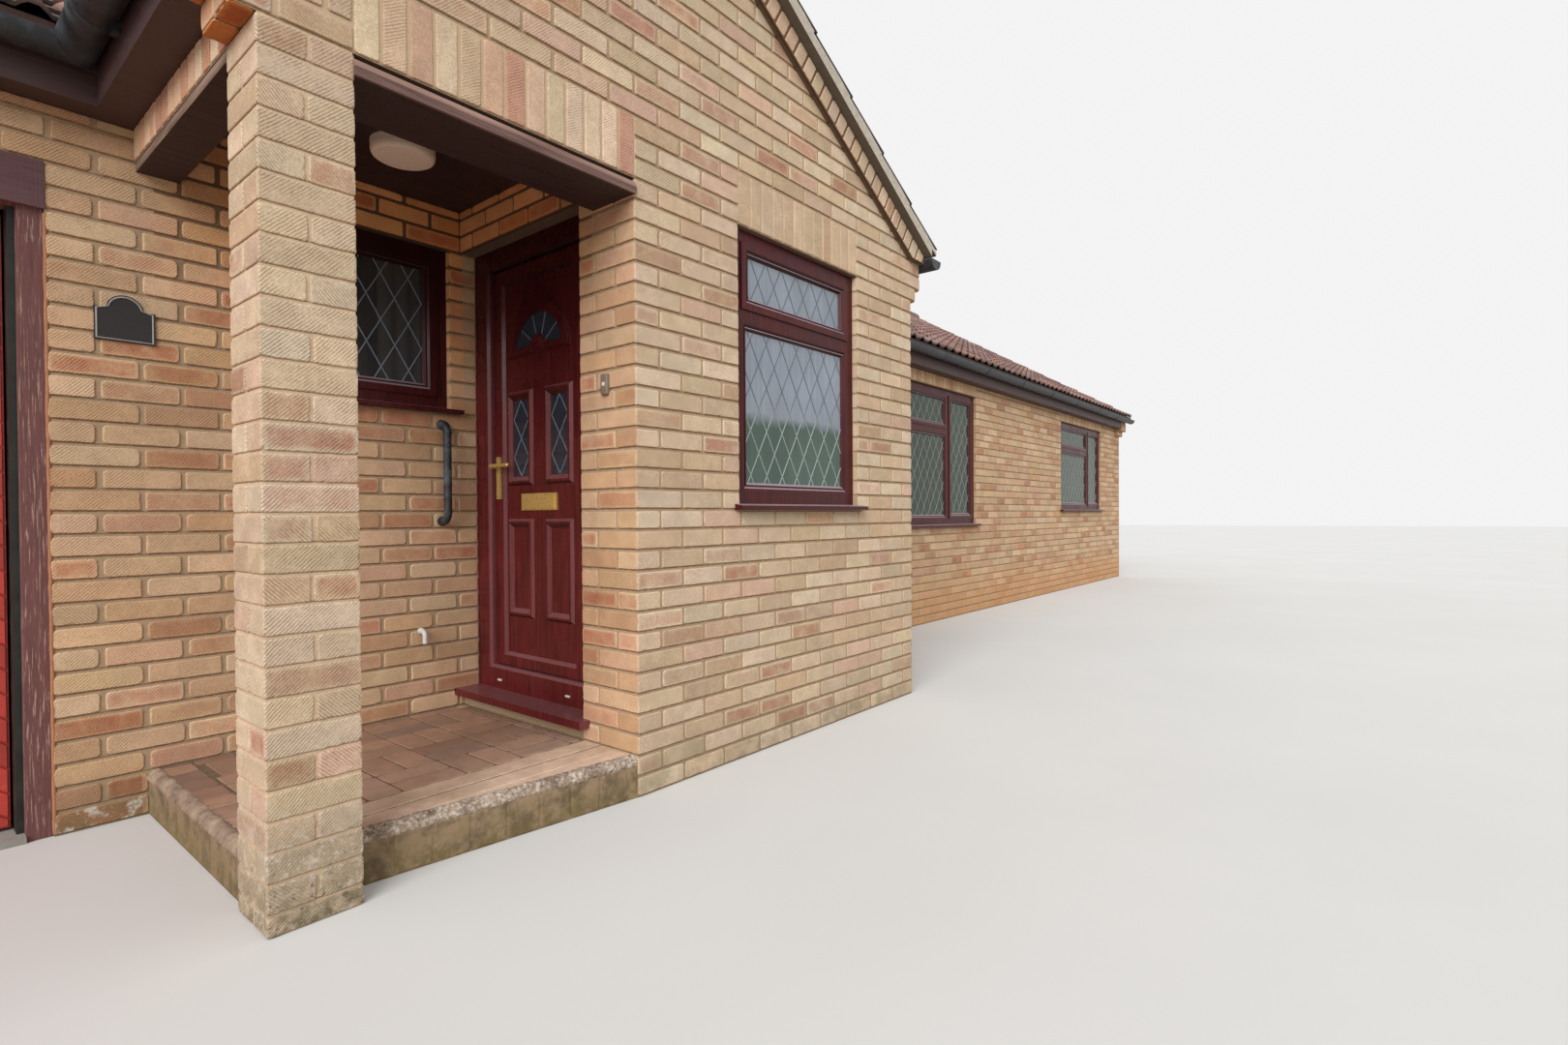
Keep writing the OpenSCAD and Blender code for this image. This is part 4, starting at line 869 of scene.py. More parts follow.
# Porch pier, on its own gauge
b = Build()
for k in range(30):
    z1 = HEAD - k * PIER_COURSE - 0.004
    z0 = max(z1 - 0.0695, 0.001)
    for O, N, par in ((Vector((GX0, GY, 0)), -Y, 0), (Vector((GX0 + PIER, GY, 0)), X, 1),
                      (Vector((GX0 + PIER, GY + PIER, 0)), Y, 0), (Vector((GX0, GY + PIER, 0)), -X, 1)):
        U, V, N = axes_of(N)
        if (k + par) % 2:
            parts = [(-E, PIER + E)]
        else:
            m = PIER / 2 + rng.uniform(-0.004, 0.004)
            parts = [(-E, m - 0.0035), (m + 0.0035, PIER + E)]
        for s, t in parts:
            brick(b, O, U, V, N, s, t, z0, z1, pick(PALE), 0.0035, 0.012, 0.0026)
b.obj("bricks_pier", "pier", "pier_brickwork")

# Door wall, back wall, garage pier and the strip over the porch side
b = Build()
lay(b, C, -X, 0.91, GABLE_OUT, 0.0, HEAD, GOLD, ends=(0.0, E), phase=GABLE_OUT)
lay(b, C, -X, 0.0, 1.0225, HEAD, CEIL, GOLD, ends=(-0.005, 0.0), phase=GABLE_OUT)
reveal(b, Vector((CX, DOOR_Y0, 0)), Y, -0.068, 0.225, HEAD, GOLD)
b.obj("bricks_door_wall", "brick", "brickwork")
b = Build()
lay(b, C, -Y, XL - CX, 0.0, 0.0, SOFFIT, GOLD,
    [(PORCH_WIN_X, -0.055, PORCH_SILL, HEAD), (-1.15, 0.0, 0.0, PORCH), (GO0 - CX, GO1 - CX, 0.0, 2.174),
     (GX0 + 0.1225 - CX, 0.1, HEAD, 9.0)], (E, -0.005), near=-1.9,
    widen=lambda k: (0, 0.074 if 1 < k < 30 else 0), phase=-0.028, perp=0.0068, soft=0.011)
lay(b, C, -Y, GX0 + 0.1225 - CX, 0.0, HEAD, CEIL, GOLD, ends=(0.0, -0.005), phase=-0.028, perp=0.0068)
jambs(b, YF, CX + PORCH_WIN_X, CX - 0.055, PORCH_SILL, GOLD)
soldiers(b, Vector((GX0, YF, 0)), -X, 0.005, 1.0225, HEAD, SOFFIT, LIT_STRIP)
b.obj("bricks_left_front", "brick", "brickwork")

# Wing and the gable's side
b = Build()
O = Vector((GX1, YF, 0))
holes = []
for w0, zb in ((WING_WIN_X, WING_SILL), (XR - 0.97 - WIDE_WIN - GX1, SILL)):
    holes.append((w0, w0 + WIDE_WIN, zb, SOFFIT + 0.1))
    soldiers(b, O, -Y, w0 + 0.005, w0 + 1.805, HEAD, SOFFIT, WARM, COARSE)
    jambs(b, YF, GX1 + w0, GX1 + w0 + WIDE_WIN, zb + COURSE, WARM, COARSE)
lay(b, O, -Y, 0.0, XR - GX1, 0.0, SOFFIT, WARM, holes, (-0.005, E), near=NOWHERE)
lay(b, Vector((GX1, GY, 0)), X, 0.0, GABLE_OUT, 0.0, SOFFIT, WARM, ends=(E, -0.005), near=NOWHERE)
b.obj("bricks_wing", "brick", "brickwork")

# End walls with their raking bands, and the rear wall
for name, x, N in (("right", XR, X), ("left", XL, -X)):
    U0 = axes_of(N)[0]
    centre = Vector((x, 0, 0))
    b = Build()
    lay(b, centre, N, -HALF_DEPTH, HALF_DEPTH, 0.0, 4.75, WARM, ends=(E, E), near=NOWHERE, widen=kneeler_width,
        phase=HALF_BRICK)
    for sy in (-1, 1):
        corbels(b, Vector((x, HALF_DEPTH * sy, 0)), Y * sy, N, WALL, WARM, COARSE)
    ob = b.obj("bricks_end_" + name, "brick", "brickwork")
    gable_cut(ob, centre, U0, APEX - DROP)
    raking("bricks_verge_" + name, centre, U0, N, HALF_DEPTH, APEX - DROP, WARM, COARSE)
b = Build()
O = Vector((XR, YB, 0))
h0 = XR - WIDE_WIN / 2
lay(b, O, Y, 0.0, XR - XL, 0.0, SOFFIT, WARM, [(h0, h0 + WIDE_WIN, SILL, SOFFIT + 0.1)], (E, E), near=NOWHERE)
soldiers(b, O, Y, h0 + 0.005, h0 + 1.805, HEAD, SOFFIT, WARM, COARSE)
b.obj("bricks_rear", "brick", "brickwork")


# Roof

# Section of a tile with its two rolls: place across it and height
TILE_W, TILE_RUN, ROLL_H = 0.30, 0.345, 0.030
ROLL = [(0.0, 0.0)]
for c in (TILE_W / 4, TILE_W * 3 / 4):
    ROLL += [(c - 0.040, 0.0), (c - 0.029, 0.015), (c - 0.012, ROLL_H), (c + 0.012, ROLL_H), (c + 0.029, 0.015),
             (c + 0.040, 0.0)]
ROLL.append((TILE_W, 0.0))


def slope_tiles(b, ridge0, A, D, length, half):
    """Tiles on one slope. A runs along the ridge from ridge0, D points down the slope in plan."""
    down = (D * COS - Z * SIN).normalized()
    up_n = (D * SIN + Z * COS).normalized()
    run = (half + EAVES) / COS
    rows = math.ceil(run / TILE_RUN)
    gauge = run / rows
    cols = round(length / TILE_W)
    w = length / cols / TILE_W
    flip = A.cross(down).dot(up_n) > 0
    for r in range(rows):
        for c in range(cols):
            tail = (r + 1) * gauge - (rng.uniform(0, 0.004) if r < rows - 1 else 0)
            head = r * gauge - 0.02 if r else 0.0
            lift = rng.uniform(-0.0015, 0.002)
            base = ridge0 + A * (c * TILE_W * w)
            pts, uvs, shaded_tones = [], [], []
            ou, ov = rng.random() * 9, rng.random() * 9
            tone = pick(TILES)
            for t, h, under in ((tail, 0.020, 0), (head, 0.002, 0), (tail, 0.006, 1)):
                for x, p in ROLL:
                    pts.append(base + A * (x * w) + down * t + up_n * (h + p * (0.85 if under else 1) + lift))
                    uvs.append((x + ou, t + ov))
                    # Painted light and shade in the tone: lighter on the roll tops, darker in the troughs and much
                    # darker underneath
                    g = (0.38 + 1.30 * p / ROLL_H) * (0.35 if under else 1)
                    shaded_tones.append((tone[0] * g, tone[1] * g, tone[2] * g, 1))
            n = len(ROLL)
            faces = []
            for i in range(n - 1):
                faces.append([i, i + 1, n + i + 1, n + i])
                faces.append([2 * n + i, 2 * n + i + 1, i + 1, i])
            for i in (0, n - 1):
                k = len(pts)
                pts.append(base + A * (ROLL[i][0] * w) + down * head + up_n * (-0.010 + lift))
                uvs.append((ou, ov))
                shaded_tones.append(tone)
                f = [i, n + i, k, 2 * n + i]
                faces.append(f[::-1] if i == 0 else f)
            if flip:
                faces = [f[::-1] for f in faces]
            b.add(pts, faces, uvs, shaded_tones)


def in_gable(p):
    """True inside the front gable roof's plan."""
    return abs(p.x - GXM) < GABLE_HALF + EAVES - max(0.0, p.y - (YF - EAVES))


def trim(ob, keep_gable):
    """Cuts tiles along the two valleys and keeps one side of them."""
    bm = bmesh.new()
    bm.from_mesh(ob.data)
    for s in (-1, 1):
        bisect(bm, (GXM + s * (GABLE_HALF + EAVES), YF - EAVES, 0), (1, s, 0), False)
    gone = [f for f in bm.faces if f.calc_center_median().z > 2.0 and in_gable(f.calc_center_median()) != keep_gable]
    bmesh.ops.delete(bm, geom=gone, context="FACES")
    bm.to_mesh(ob.data)
    bm.free()


L = XR - XL + 2 * VERGE
b = Build()
slope_tiles(b, Vector((XL - VERGE, 0, APEX)), X, -Y, L, HALF_DEPTH)
trim(b.obj("tiles_front", "tile", "roof_tiles", smooth=40), False)
b = Build()
slope_tiles(b, Vector((XL - VERGE, 0, APEX)), X, Y, L, HALF_DEPTH)
b.obj("tiles_rear", "tile", "roof_tiles", smooth=40)
b = Build()
for s in (-1, 1):
    slope_tiles(b, Vector((GXM, GY - VERGE, GAPEX)), Y, X * s, 3.0 + VERGE, GABLE_HALF)
trim(b.obj("tiles_gable", "tile", "roof_tiles", smooth=40), True)


def ridge_run(b, start, A, length, mort):
    """Half-round ridge tiles along A into b, and the mortar under them into mort."""
    S = Z.cross(A)
    m = 17
    r0, r1 = 0.1225, 0.1185
    n = round(length / 0.45)
    p = length / n
    for i in range(n):
        o = start + A * (i * p) + S * rng.uniform(-0.002, 0.002)
        col = pick(TILES)
        pts, uvs = [], []
        for a, r in ((0.004, r0 - 0.015), (0.004, r0), (p - 0.006, r1), (p - 0.006, r1 - 0.014)):
            for j in range(m):
                t = math.radians(-28 + 236 * j / (m - 1))
                pts.append(o + A * a + S * (r * math.cos(t)) + Z * (r * math.sin(t)))
                uvs.append((a + i, t * 0.12))
        b.add(pts, quads(4, m, False), uvs, col)
    # Mortar under the tiles, showing in the joints and at the ends
    pts, uvs = [], []
    for k in range(41):
        a = 0.006 + (length - 0.012) * k / 40
        for j in range(m):
            t = math.radians(-30 + 240 * j / (m - 1))
            r = 0.1125 + rng.uniform(-0.0015, 0.0015)
            pts.append(start + A * a + S * (r * math.cos(t)) + Z * (r * math.sin(t)))
            uvs.append((a, t))
    mort.add(pts, quads(41, m, False) + caps(41, m), uvs)


for name, start, A, length in (("main", Vector((XL - VERGE, 0, APEX - 0.024)), X, L),
                               ("gable", Vector((GXM, GY - VERGE, GAPEX - 0.024)), Y, 3.07)):
    b, mort = Build(), Build()
    ridge_run(b, start, A, length, mort)
    for ob in (b.obj("ridge_caps_" + name, "tile", "ridge_tiles", smooth=40),
               mort.obj("ridge_mortar_" + name, "bedding", "ridge_tiles", smooth=40)):
        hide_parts("ridge_tiles")
        if name == "gable":
            cut(ob, [(Vector((0, 0, APEX + 0.004)), Vector((0, SIN, -COS)))])


# Windows

def placer(x0, face, z0, back=1):
    """Maps width, height and depth of a window to the frame. back is 1 for front walls, -1 for the rear."""
    return lambda a, h, d: Vector((x0 + a * back, face + d * back, z0 + h))


def strip(b, at, p, q, d, w=0.007, t=0.0022):
    """A thin lead strip between two points of a light."""
    p, q = Vector(p), Vector(q)
    if (q - p).length < 0.004:
        return
    s = (q - p).normalized()
    n = Vector((-s.y, s.x))
    prof = ((-w / 2, 0.0), (-w / 4, t), (w / 4, t), (w / 2, 0.0))
    pts = [at(e.x + n.x * a, e.y + n.y * a, d - h) for e in (p, q) for a, h in prof]
    b.add(pts, [[0, 1, 5, 4], [1, 2, 6, 5], [2, 3, 7, 6], [3, 2, 1, 0], [4, 5, 6, 7]])


def diamonds(b, at, x0, x1, y0, y1, d, dw, dh, wide):
    """Crossing lead strips over one light, in diamonds dw wide and dh high."""
    k = dh / dw
    cx, cy = (x0 + x1) / 2, (y0 + y1) / 2
    span = int((x1 - x0) / dw + (y1 - y0) / dh) + 3
    for s in (1, -1):
        for i in range(-span, span + 1):
            xa = cx + (i + 0.5) * dw
            # Line through (xa, cy) with slope s * k, clipped to the light
            xb, xc = sorted(((y0 - cy) / (s * k) + xa, (y1 - cy) / (s * k) + xa))
            lo, hi = max(x0, xb), min(x1, xc)
            if hi - lo > 0.004:
                strip(b, at, (lo, cy + s * k * (lo - xa)), (hi, cy + s * k * (hi - xa)), d, wide)


def curtain(name, at, x0, x1, y0, y1, d, amp, pitch, key):
    """A hung curtain in soft folds."""
    n = max(8, int((x1 - x0) / pitch * 8))
    rows = 10
    ph = [rng.uniform(-0.7, 0.7) for _ in range(n + 1)]
    pts = []
    for r in range(rows + 1):
        h = r / rows
        for i in range(n + 1):
            u = i / n
            w = math.sin(2 * math.pi * (x1 - x0) * u / pitch + 0.5 * ph[i])
            pts.append(at(x0 + (x1 - x0) * u, y1 - (y1 - y0) * h, d + amp * w * (0.55 + 0.45 * h)))
    faces = sheet_quads(rows + 1, n + 1)
    b = Build()
    b.add(pts, faces)
    ob = b.obj(name, key, smooth=80)


def rail_for(name, at, x0, x1, y, d):
    """A curtain rail with a rolled edge, fixed to the head of the opening."""
    prof = [(-0.012, 0.0), (-0.012, -0.010), (-0.008, -0.016), (0.0, -0.018), (0.008, -0.016), (0.012, -0.010),
            (0.012, 0.0)]
    b = Build()
    pts = [at(x, y + h, d + a) for x in (x0, x1) for a, h in prof]
    b.add(pts, quads(2, len(prof), False) + caps(2, len(prof)))
    b.obj(name, "white")


def bead(b, at, x0, x1, y0, y1, d0, d1=0.0438, wide=0.015):
    """A mitred glazing bead that slopes from the edge of its light down to the glass."""
    pts = [at(*p) for i, d in ((0.0, d0), (wide * 0.3, d0 - 0.0015), (wide, d1), (0.0, d1))
           for p in ((x0 + i, y0 + i, d), (x1 - i, y0 + i, d), (x1 - i, y1 - i, d), (x0 + i, y1 - i, d))]
    b.add(pts, [[r * 4 + k, r * 4 + (k + 1) % 4, (r + 1) % 4 * 4 + (k + 1) % 4, (r + 1) % 4 * 4 + k]
                for r in range(4) for k in range(4)])


def dress_window(name, at, w, h, mullion, transom, curtains, dw=0.118, dh=0.205, wide=0.006):
    """Lead strips and curtains of one window, in width, height and depth from its corner."""
    lead, beads = Build(), Build()
    ty = 0.7 * h
    mx = w * 0.667 if mullion else w - 0.028
    d = 0.044
    # An opening light's glass lies 92 mm in from the frame's edge, a fixed one's 78 mm
    opening, fixed = 0.092, 0.078
    lights = []
    if transom:
        lights.append((opening, mx - 0.064, ty + 0.064, h - opening))
        lights.append((fixed, mx - 0.050, 0.104, ty - 0.050))
    if mullion or not transom:
        lights.append((mx + 0.064 if mullion else opening, w - opening, 0.118, h - opening))
    for x0, x1, y0, y1 in lights:
        diamonds(lead, at, x0, x1, y0, y1, d, dw, dh, wide)
        bead(beads, at, x0, x1, y0, y1, 0.034 if y0 < 0.11 else 0.030)
    lead.obj("leads_" + name, "lead", "glazing")
    beads.obj("beads_" + name, "window", "window_frames")
    for i, (x0, x1, y0, amp, pitch, cloth) in enumerate(curtains):
        rail_for("%s_curtain_%d_rail" % (name, i), at, x0, x1, h, 0.150)
        curtain("%s_curtain_%d" % (name, i), at, x0 + 0.01, x1 - 0.01, y0, h - 0.015, 0.150, amp, pitch, cloth)


dress_window("gable", placer(CX + GABLE_WIN_X, GY, SILL), GABLE_WIN, HEAD - SILL, False, True,
             [(0.03, 0.88, 0.06, 0.012, 0.055, "net")], 0.110, 0.196, 0.0048)
dress_window("wing_1", placer(GX1 + WING_WIN_X, YF, WING_SILL), WIDE_WIN, HEAD - WING_SILL, True, True,
             [(1.00, 1.16, 0.06, 0.02, 0.09, "curtain"), (1.62, 1.78, 0.06, 0.02, 0.08, "curtain")],
             0.125, 0.200, 0.0042)
dress_window("wing_2", placer(XR - 0.97 - WIDE_WIN, YF, SILL), WIDE_WIN, HEAD - SILL, True, True,
             [(0.03, 1.78, 0.06, 0.014, 0.07, "net")], 0.125, 0.200, 0.0042)
dress_window("porch", placer(CX + PORCH_WIN_X, YF, PORCH_SILL), PORCH_WIN, HEAD - PORCH_SILL, False, False,
             [(0.42, 0.66, 0.05, 0.014, 0.07, "curtain")])
dress_window("rear", placer(WIDE_WIN / 2, YB, SILL, -1), WIDE_WIN, HEAD - SILL, True, True,
             [(0.03, 0.45, 0.06, 0.02, 0.09, "curtain"), (1.36, 1.78, 0.06, 0.02, 0.09, "curtain")])


# Diagonal boards of the garage door, in a chevron

def clip(poly, n, d):
    """The part of a convex polygon where n.p is at most d."""
    out = []
    for i, p in enumerate(poly):
        q = poly[(i + 1) % len(poly)]
        a, c = n.dot(p) - d, n.dot(q) - d
        if a <= 0:
            out.append(p)
        if (a < 0 < c) or (c < 0 < a):
            out.append(p.lerp(q, a / (a - c)))
    return out


b = Build()
gx_lo, gx_hi, gz_lo, gz_hi, gy_leaf = GO0 + GARAGE_JAMB, GO1 - GARAGE_JAMB, 0.030, 2.010, YF + 0.120
gx_mid, slant, board = (gx_lo + gx_hi) / 2, math.radians(38), 0.080
for side in (-1, 1):
    x0, x1 = (gx_lo + 0.004, gx_mid - 0.003) if side < 0 else (gx_mid + 0.003, gx_hi - 0.004)
    n = Vector((math.sin(slant) * side, math.cos(slant)))
    base = n.dot(Vector((gx_mid, gz_hi)))
    wide = board * math.cos(slant)
    for k in range(-22, 36):
        rings = []
        for inset in (0.0, 0.0025):
            poly = [Vector((x0 + inset, gz_lo + 0.004 + inset)), Vector((x1 - inset, gz_lo + 0.004 + inset)),
                    Vector((x1 - inset, gz_hi - 0.004 - inset)), Vector((x0 + inset, gz_hi - 0.004 - inset))]
            poly = clip(poly, n, base - k * wide - 0.0015 - inset)
            poly = clip(poly, -n, -(base - (k + 1) * wide) - 0.0015 - inset) if len(poly) > 2 else []
            rings.append(poly)
        lo, hi = rings
        if len(lo) < 3 or len(lo) != len(hi):
            continue
        m = len(lo)
        pts = [Vector((v.x, gy_leaf + 0.0005, v.y)) for v in lo] + [Vector((v.x, gy_leaf - 0.004, v.y)) for v in hi]
        g = rng.uniform(0.88, 1.08)
        b.add(pts, quads(2, m) + caps(2, m)[1:], col=lin(190 * g, 64 * g, 53 * g))
b.obj("garage_boards", "red_board", "garage_red", body="garage_leaf")


# Front door

def door_at(a, h, d):
    """Width, height and depth on the leaf; depth is measured in from the panel's face."""
    return Vector((PANEL_X + d, LEAF_Y0 + a, LEAF_Z0 + h))


b = Build()
lead_d, leaf_mid, fan_z = 0.004, 0.34, 1.402
# Two diamonds, one over the other, on each side light
for s in (1, -1):
    x0, x1 = sorted((leaf_mid + s * 0.089, leaf_mid + s * 0.204))
    y0, y1 = 0.866, 1.208
    xm, q = (x0 + x1) / 2, (y1 - y0) / 4
    for k in (0, 2):
        corners = [(xm, y0 + k * q), (x1, y0 + (k + 1) * q), (xm, y0 + (k + 2) * q), (x0, y0 + (k + 1) * q)]
        for i in range(4):
            strip(b, door_at, corners[i], corners[(i + 1) % 4], lead_d, 0.005, 0.002)
# Rays of the fan light, out to its rim
for degrees in (36, 72, 108, 144):
    t = math.radians(degrees)
    c = Vector((leaf_mid, fan_z + 0.0207))
    ray = Vector((math.cos(t), math.sin(t)))
    p, far = c + ray * 0.064, c + ray * 0.4
    q = p
    for k in range(200):
        q2 = p.lerp(far, k / 200)
        if (q2 - Vector((leaf_mid, fan_z))).length > 0.182:
            break
        q = q2
    strip(b, door_at, p, q, lead_d, 0.0045, 0.002)
b.obj("door_leads", "lead", "glazing", body="front_door_leaf")


def rounded_block(name, key, lo, hi, r):
    """A small moulded cover with rounded edges."""
    me = bpy.data.meshes.new(name)
    bm = bmesh.new()
    bmesh.ops.create_cube(bm, size=1.0)
    for v in bm.verts:
        v.co = Vector([a + (u + 0.5) * (c - a) for u, a, c in zip(v.co, lo, hi)])
    bmesh.ops.bevel(bm, geom=bm.edges[:], offset=r, segments=3, affect="EDGES", profile=0.5)
    bm.to_mesh(me)
    bm.free()
    place(name, me, key, "house", 35)


for i, v in enumerate((0.204, 0.724)):
    y = DOOR_Y0 + v
    rounded_block("drain_cap_%d" % i, "white", (FRAME_X - 0.006, y - 0.016, 0.272), (FRAME_X + 0.001, y + 0.016, 0.282),
                  0.003)
rounded_block("bell_push", "taupe", (CX - 0.018, -4.842, 1.482), (CX + 0.001, -4.802, 1.562), 0.006)
rounded_block("bell_button", "white", (CX - 0.021, -4.830, 1.514), (CX - 0.014, -4.814, 1.530), 0.003)


# Small fittings

def lathe(b, centre, A, profile, n):
    """Turns a profile of (distance along A, radius) about the axis A."""
    A = A.normalized()
    P = A.orthogonal().normalized()
    Q = A.cross(P)
    pts = []
    for a, r in profile:
        for i in range(n):
            t = 2 * math.pi * i / n
            pts.append(centre + A * a + P * (r * math.cos(t)) + Q * (r * math.sin(t)))
    b.add(pts, quads(len(profile), n) + caps(len(profile), n))


def tube(b, path, r, n=20):
    """A round bar along a path of points."""
    pts = []
    m = len(path)
    ref = None
    for k, p in enumerate(path):
        t = (path[min(k + 1, m - 1)] - path[max(k - 1, 0)]).normalized()
        ref = t.orthogonal().normalized() if ref is None else (ref - t * ref.dot(t)).normalized()
        q = t.cross(ref)
        for i in range(n):
            a = 2 * math.pi * i / n
            pts.append(p + ref * (r * math.cos(a)) + q * (r * math.sin(a)))
    b.add(pts, quads(m, n) + caps(m, n))


# Bead of old sealant between the garage jamb and the bricks
b = Build()
tube(b, [Vector((GO1 + 0.002 + rng.uniform(-0.001, 0.001), YF + rng.uniform(0.001, 0.003), 0.01 + 2.0 * i / 60))
         for i in range(61)], 0.0062, 12)
b.obj("jamb_sealant", "sealant", "garage_timber", smooth=60)

# Rings along the grab rail
b = Build()
rx, ry = CX - 0.101, YF - 0.060
for i in range(7):
    z = 1.008 + 0.04 + 0.36 * i / 6
    lathe(b, Vector((rx, ry, z - 0.006)), Z, [(0, 0.0170), (0.002, 0.0186), (0.010, 0.0186), (0.012, 0.0170)], 32)
b.obj("rail_rings", "rail", "rail_plastic", smooth=35)

# Overflow elbow
b = Build()
o = Vector((-3.673, YF + 0.01, 0.520))
path = [o, o - Y * 0.035]
for i in range(1, 9):
    t = math.radians(90 * i / 8)
    path.append(o - Y * (0.035 + 0.022 * math.sin(t)) - Z * (0.022 * (1 - math.cos(t))))
path.append(path[-1] - Z * 0.03)
tube(b, path, 0.0108)
lathe(b, o - Y * 0.013, -Y, [(0, 0.0135), (0.016, 0.0135), (0.018, 0.0115)], 24)
b.obj("overflow_elbow", "white", "lamp_plastic", smooth=35)

# Raised rim of the bare number plaque
b = Build()
px, py, pz = GX0 - 0.032, YF - 0.010, 1.630
rim = [Vector((px - 0.076, 0, pz + 0.004)), Vector((px + 0.076, 0, pz + 0.004)), Vector((px + 0.076, 0, pz + 0.106))]
for i in range(13):
    t = math.radians(8 + 164 * i / 12)
    rim.append(Vector((px + 0.045 * math.cos(t), 0, pz + 0.110 + 0.044 * math.sin(t))))
rim.append(Vector((px - 0.076, 0, pz + 0.106)))
mid = Vector((px, 0, pz + 0.065))
pts = []
for f, d in ((1.0, 0.0), (0.985, -0.0025), (0.955, -0.0025), (0.94, 0.0)):
    for p in rim:
        q = mid + (p - mid) * f
        pts.append(Vector((q.x, py + d, q.z)))
b.add(pts, quads(4, len(rim)))
b.obj("plaque_rim", "rim", "plaque_metal")


# Porch floor

b = Build()
O = Vector((0, 0, PORCH))
cell = 0.2125
gx, gy0 = -3.735, -4.663
x_lo, x_hi, y_hi = -4.498, CX - 0.006, YF - 0.008
for i in range(-4, 3):
    for j in range(0, 6):
        for k in range(2):
            a0, a1, c0, c1 = gx + i * cell, gx + (i + 1) * cell, gy0 + j * cell, gy0 + (j + 1) * cell
            if (i + j) % 2:
                a0, a1 = a0 + k * cell / 2, a0 + (k + 1) * cell / 2
            else:
                c0, c1 = c0 + k * cell / 2, c0 + (k + 1) * cell / 2
            a0, a1, c1 = max(a0, x_lo), min(a1, x_hi), min(c1, y_hi)
            if a1 - a0 < 0.03 or c1 - c0 < 0.03:
                continue
            brick(b, O, X, Y, Z, a0 + 0.003, a1 - 0.003, c0 + 0.003, c1 - 0.003, pick(CLAY), 0.0022, FINE, 0.0012)
# Bullnose bricks along the left edge
bullnose = 0.1165
for i in range(9):
    c0 = -3.77 - i * bullnose
    if c0 - bullnose < GY + PIER + 0.004:
        break
    brick(b, O, X, Y, Z, GX0 + 0.037, -4.504, c0 - 0.1135, c0 - 0.003, pick(CLAY), 0.0022, FINE, 0.0016)
b.obj("pavers", "paver", "porch_paving")

b = Build()
front0, front1 = Vector((GX0 + 0.2153, GY + 0.107, 0)), Vector((CX - 0.0003, GY + 0.004, 0))
run = front1 - front0
U = run.normalized()
NF = Vector((U.y, -U.x, 0))
# Cement border in two strips, with the crack between them
brick(b, O, X, Y, Z, -4.408, CX - 0.004, -4.768, -4.667, GREY, 0.0020, 0.03, 0.0040)
brick(b, O, X, Y, Z, -4.408, CX - 0.004, -4.866, -4.774, GREY, 0.0018, 0.03, 0.0040)
# Riser units below the nosing, in front and on the left
for i in range(9):
    s = i * 0.1125 + 0.01
    if s + 0.1 > run.length:
        break
    brick(b, front0, U, Z, NF, s, s + 0.106, 0.002, 0.117, GREY, 0.0022, 0.02, 0.0030)
for i in range(8):
    s = i * bullnose + 0.02
    brick(b, Vector((GX0 + 0.013, YF, 0)), *axes_of(-X), s, s + 0.110, 0.002, 0.117, GREY, 0.0022, 0.02, 0.0030)
b.obj("border", "cement", "porch_paving")


def nosing(b, p0, U, N, length, segs):
    """The rough rounded edge of the step, lumpy with lichen."""
    prof, r0 = 9, 0.028
    pts = []
    for k in range(segs + 1):
        for j in range(prof):
            t = math.radians(-14 + 118 * j / (prof - 1))
            r = r0 + (0.0008 if j in (0, prof - 1) else 0.003 + rng.uniform(-0.0012, 0.0035))
            pts.append(p0 + U * (length * k / segs) - N * r0 + N * (r * math.cos(t)) + Z * (r * math.sin(t)))
    b.add(pts, sheet_quads(segs + 1, prof))


b = Build()
nosing(b, front0 + Z * (PORCH - 0.028), U, NF, run.length, 150)
nosing(b, Vector((GX0 + 0.013, YF, PORCH - 0.028)), -Y, -X, 1.022, 120)
b.obj("step_nosing", "nosing", "porch_paving", smooth=60)


# Camera, light and floor

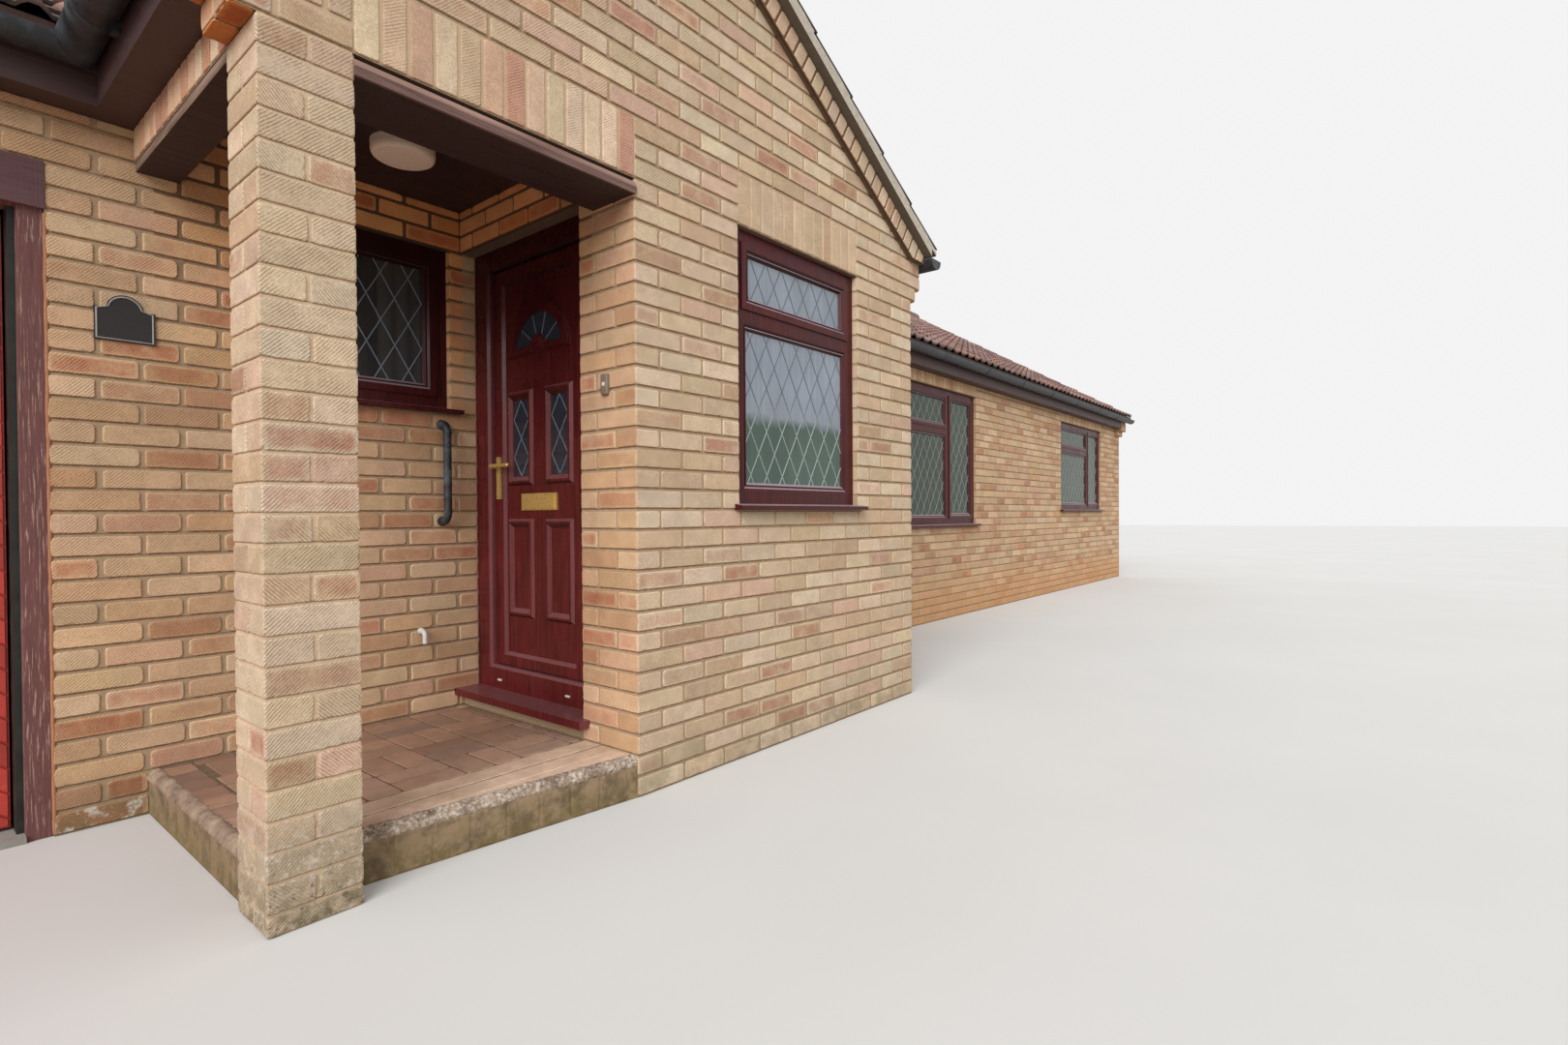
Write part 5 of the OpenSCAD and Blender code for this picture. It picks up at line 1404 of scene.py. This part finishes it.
yaw, pitch, roll = math.radians(51.262), math.radians(-0.600), math.radians(-0.352)
fwd = Vector((math.sin(yaw), math.cos(yaw), 0))
right = Vector((math.cos(yaw), -math.sin(yaw), 0))
f2 = fwd * math.cos(pitch) + Z * math.sin(pitch)
u2 = Z * math.cos(pitch) - fwd * math.sin(pitch)
r3 = right * math.cos(roll) + u2 * math.sin(roll)
u3 = u2 * math.cos(roll) - right * math.sin(roll)
cam_data = bpy.data.cameras.new("camera")
cam_data.lens = 17.18
cam_data.sensor_width = 36.0
cam_data.clip_start = 0.05
cam_data.clip_end = 400
cam = link("camera", cam_data)
m = Matrix((r3, u3, -f2)).transposed().to_4x4()
m.translation = Vector((-5.25615, -7.1061, 1.0285))
cam.matrix_world = m
bpy.context.scene.camera = cam

world = bpy.data.worlds.new("studio")
bpy.context.scene.world = world
world.use_nodes = True
t = world.node_tree
back = t.nodes["Background"]
path = t.nodes.new("ShaderNodeLightPath")
seen = path.outputs["Is Camera Ray"]
for kind in ("Is Glossy Ray", "Is Transmission Ray"):
    either = t.nodes.new("ShaderNodeMath")
    either.operation = "MAXIMUM"
    t.links.new(seen, either.inputs[0])
    t.links.new(path.outputs[kind], either.inputs[1])
    seen = either.outputs[0]
level = t.nodes.new("ShaderNodeMapRange")
level.inputs["To Min"].default_value = 0.80
level.inputs["To Max"].default_value = 0.90
t.links.new(seen, level.inputs["Value"])
t.links.new(level.outputs["Result"], back.inputs["Strength"])
back.inputs["Color"].default_value = (1, 1, 1, 1)

sun = bpy.data.lights.new("soft_sun", "SUN")
sun.energy = 2.6
sun.angle = math.radians(45)
lamp = link("soft_sun", sun)
lamp.rotation_mode = "QUATERNION"
lamp.rotation_quaternion = Vector((0.80, 0.42, -0.55)).to_track_quat("-Z", "Y")

bm = bmesh.new()
bmesh.ops.create_grid(bm, x_segments=8, y_segments=8, size=60)
me = bpy.data.meshes.new("studio_floor")
bm.to_mesh(me)
bm.free()
floor = link("studio_floor", me)
floor.location = (0, 0, -0.001)
s = Shader("studio_floor", 0.95)
lp = s.node("LightPath")
cam_ray = s.math("MAXIMUM", s.math("MAXIMUM", lp.outputs["Is Camera Ray"], lp.outputs["Is Glossy Ray"]),
                 lp.outputs["Is Transmission Ray"])
soft = s.mottle(s.mix(cam_ray, (0.40, 0.34, 0.28, 1), (0.66, 0.655, 0.64, 1)), s.noise(0.6, 4, 0.6), 0.97, 1.02)
me.materials.append(s.done(soft, 0.95))

bpy.context.scene.view_settings.view_transform = "Standard"
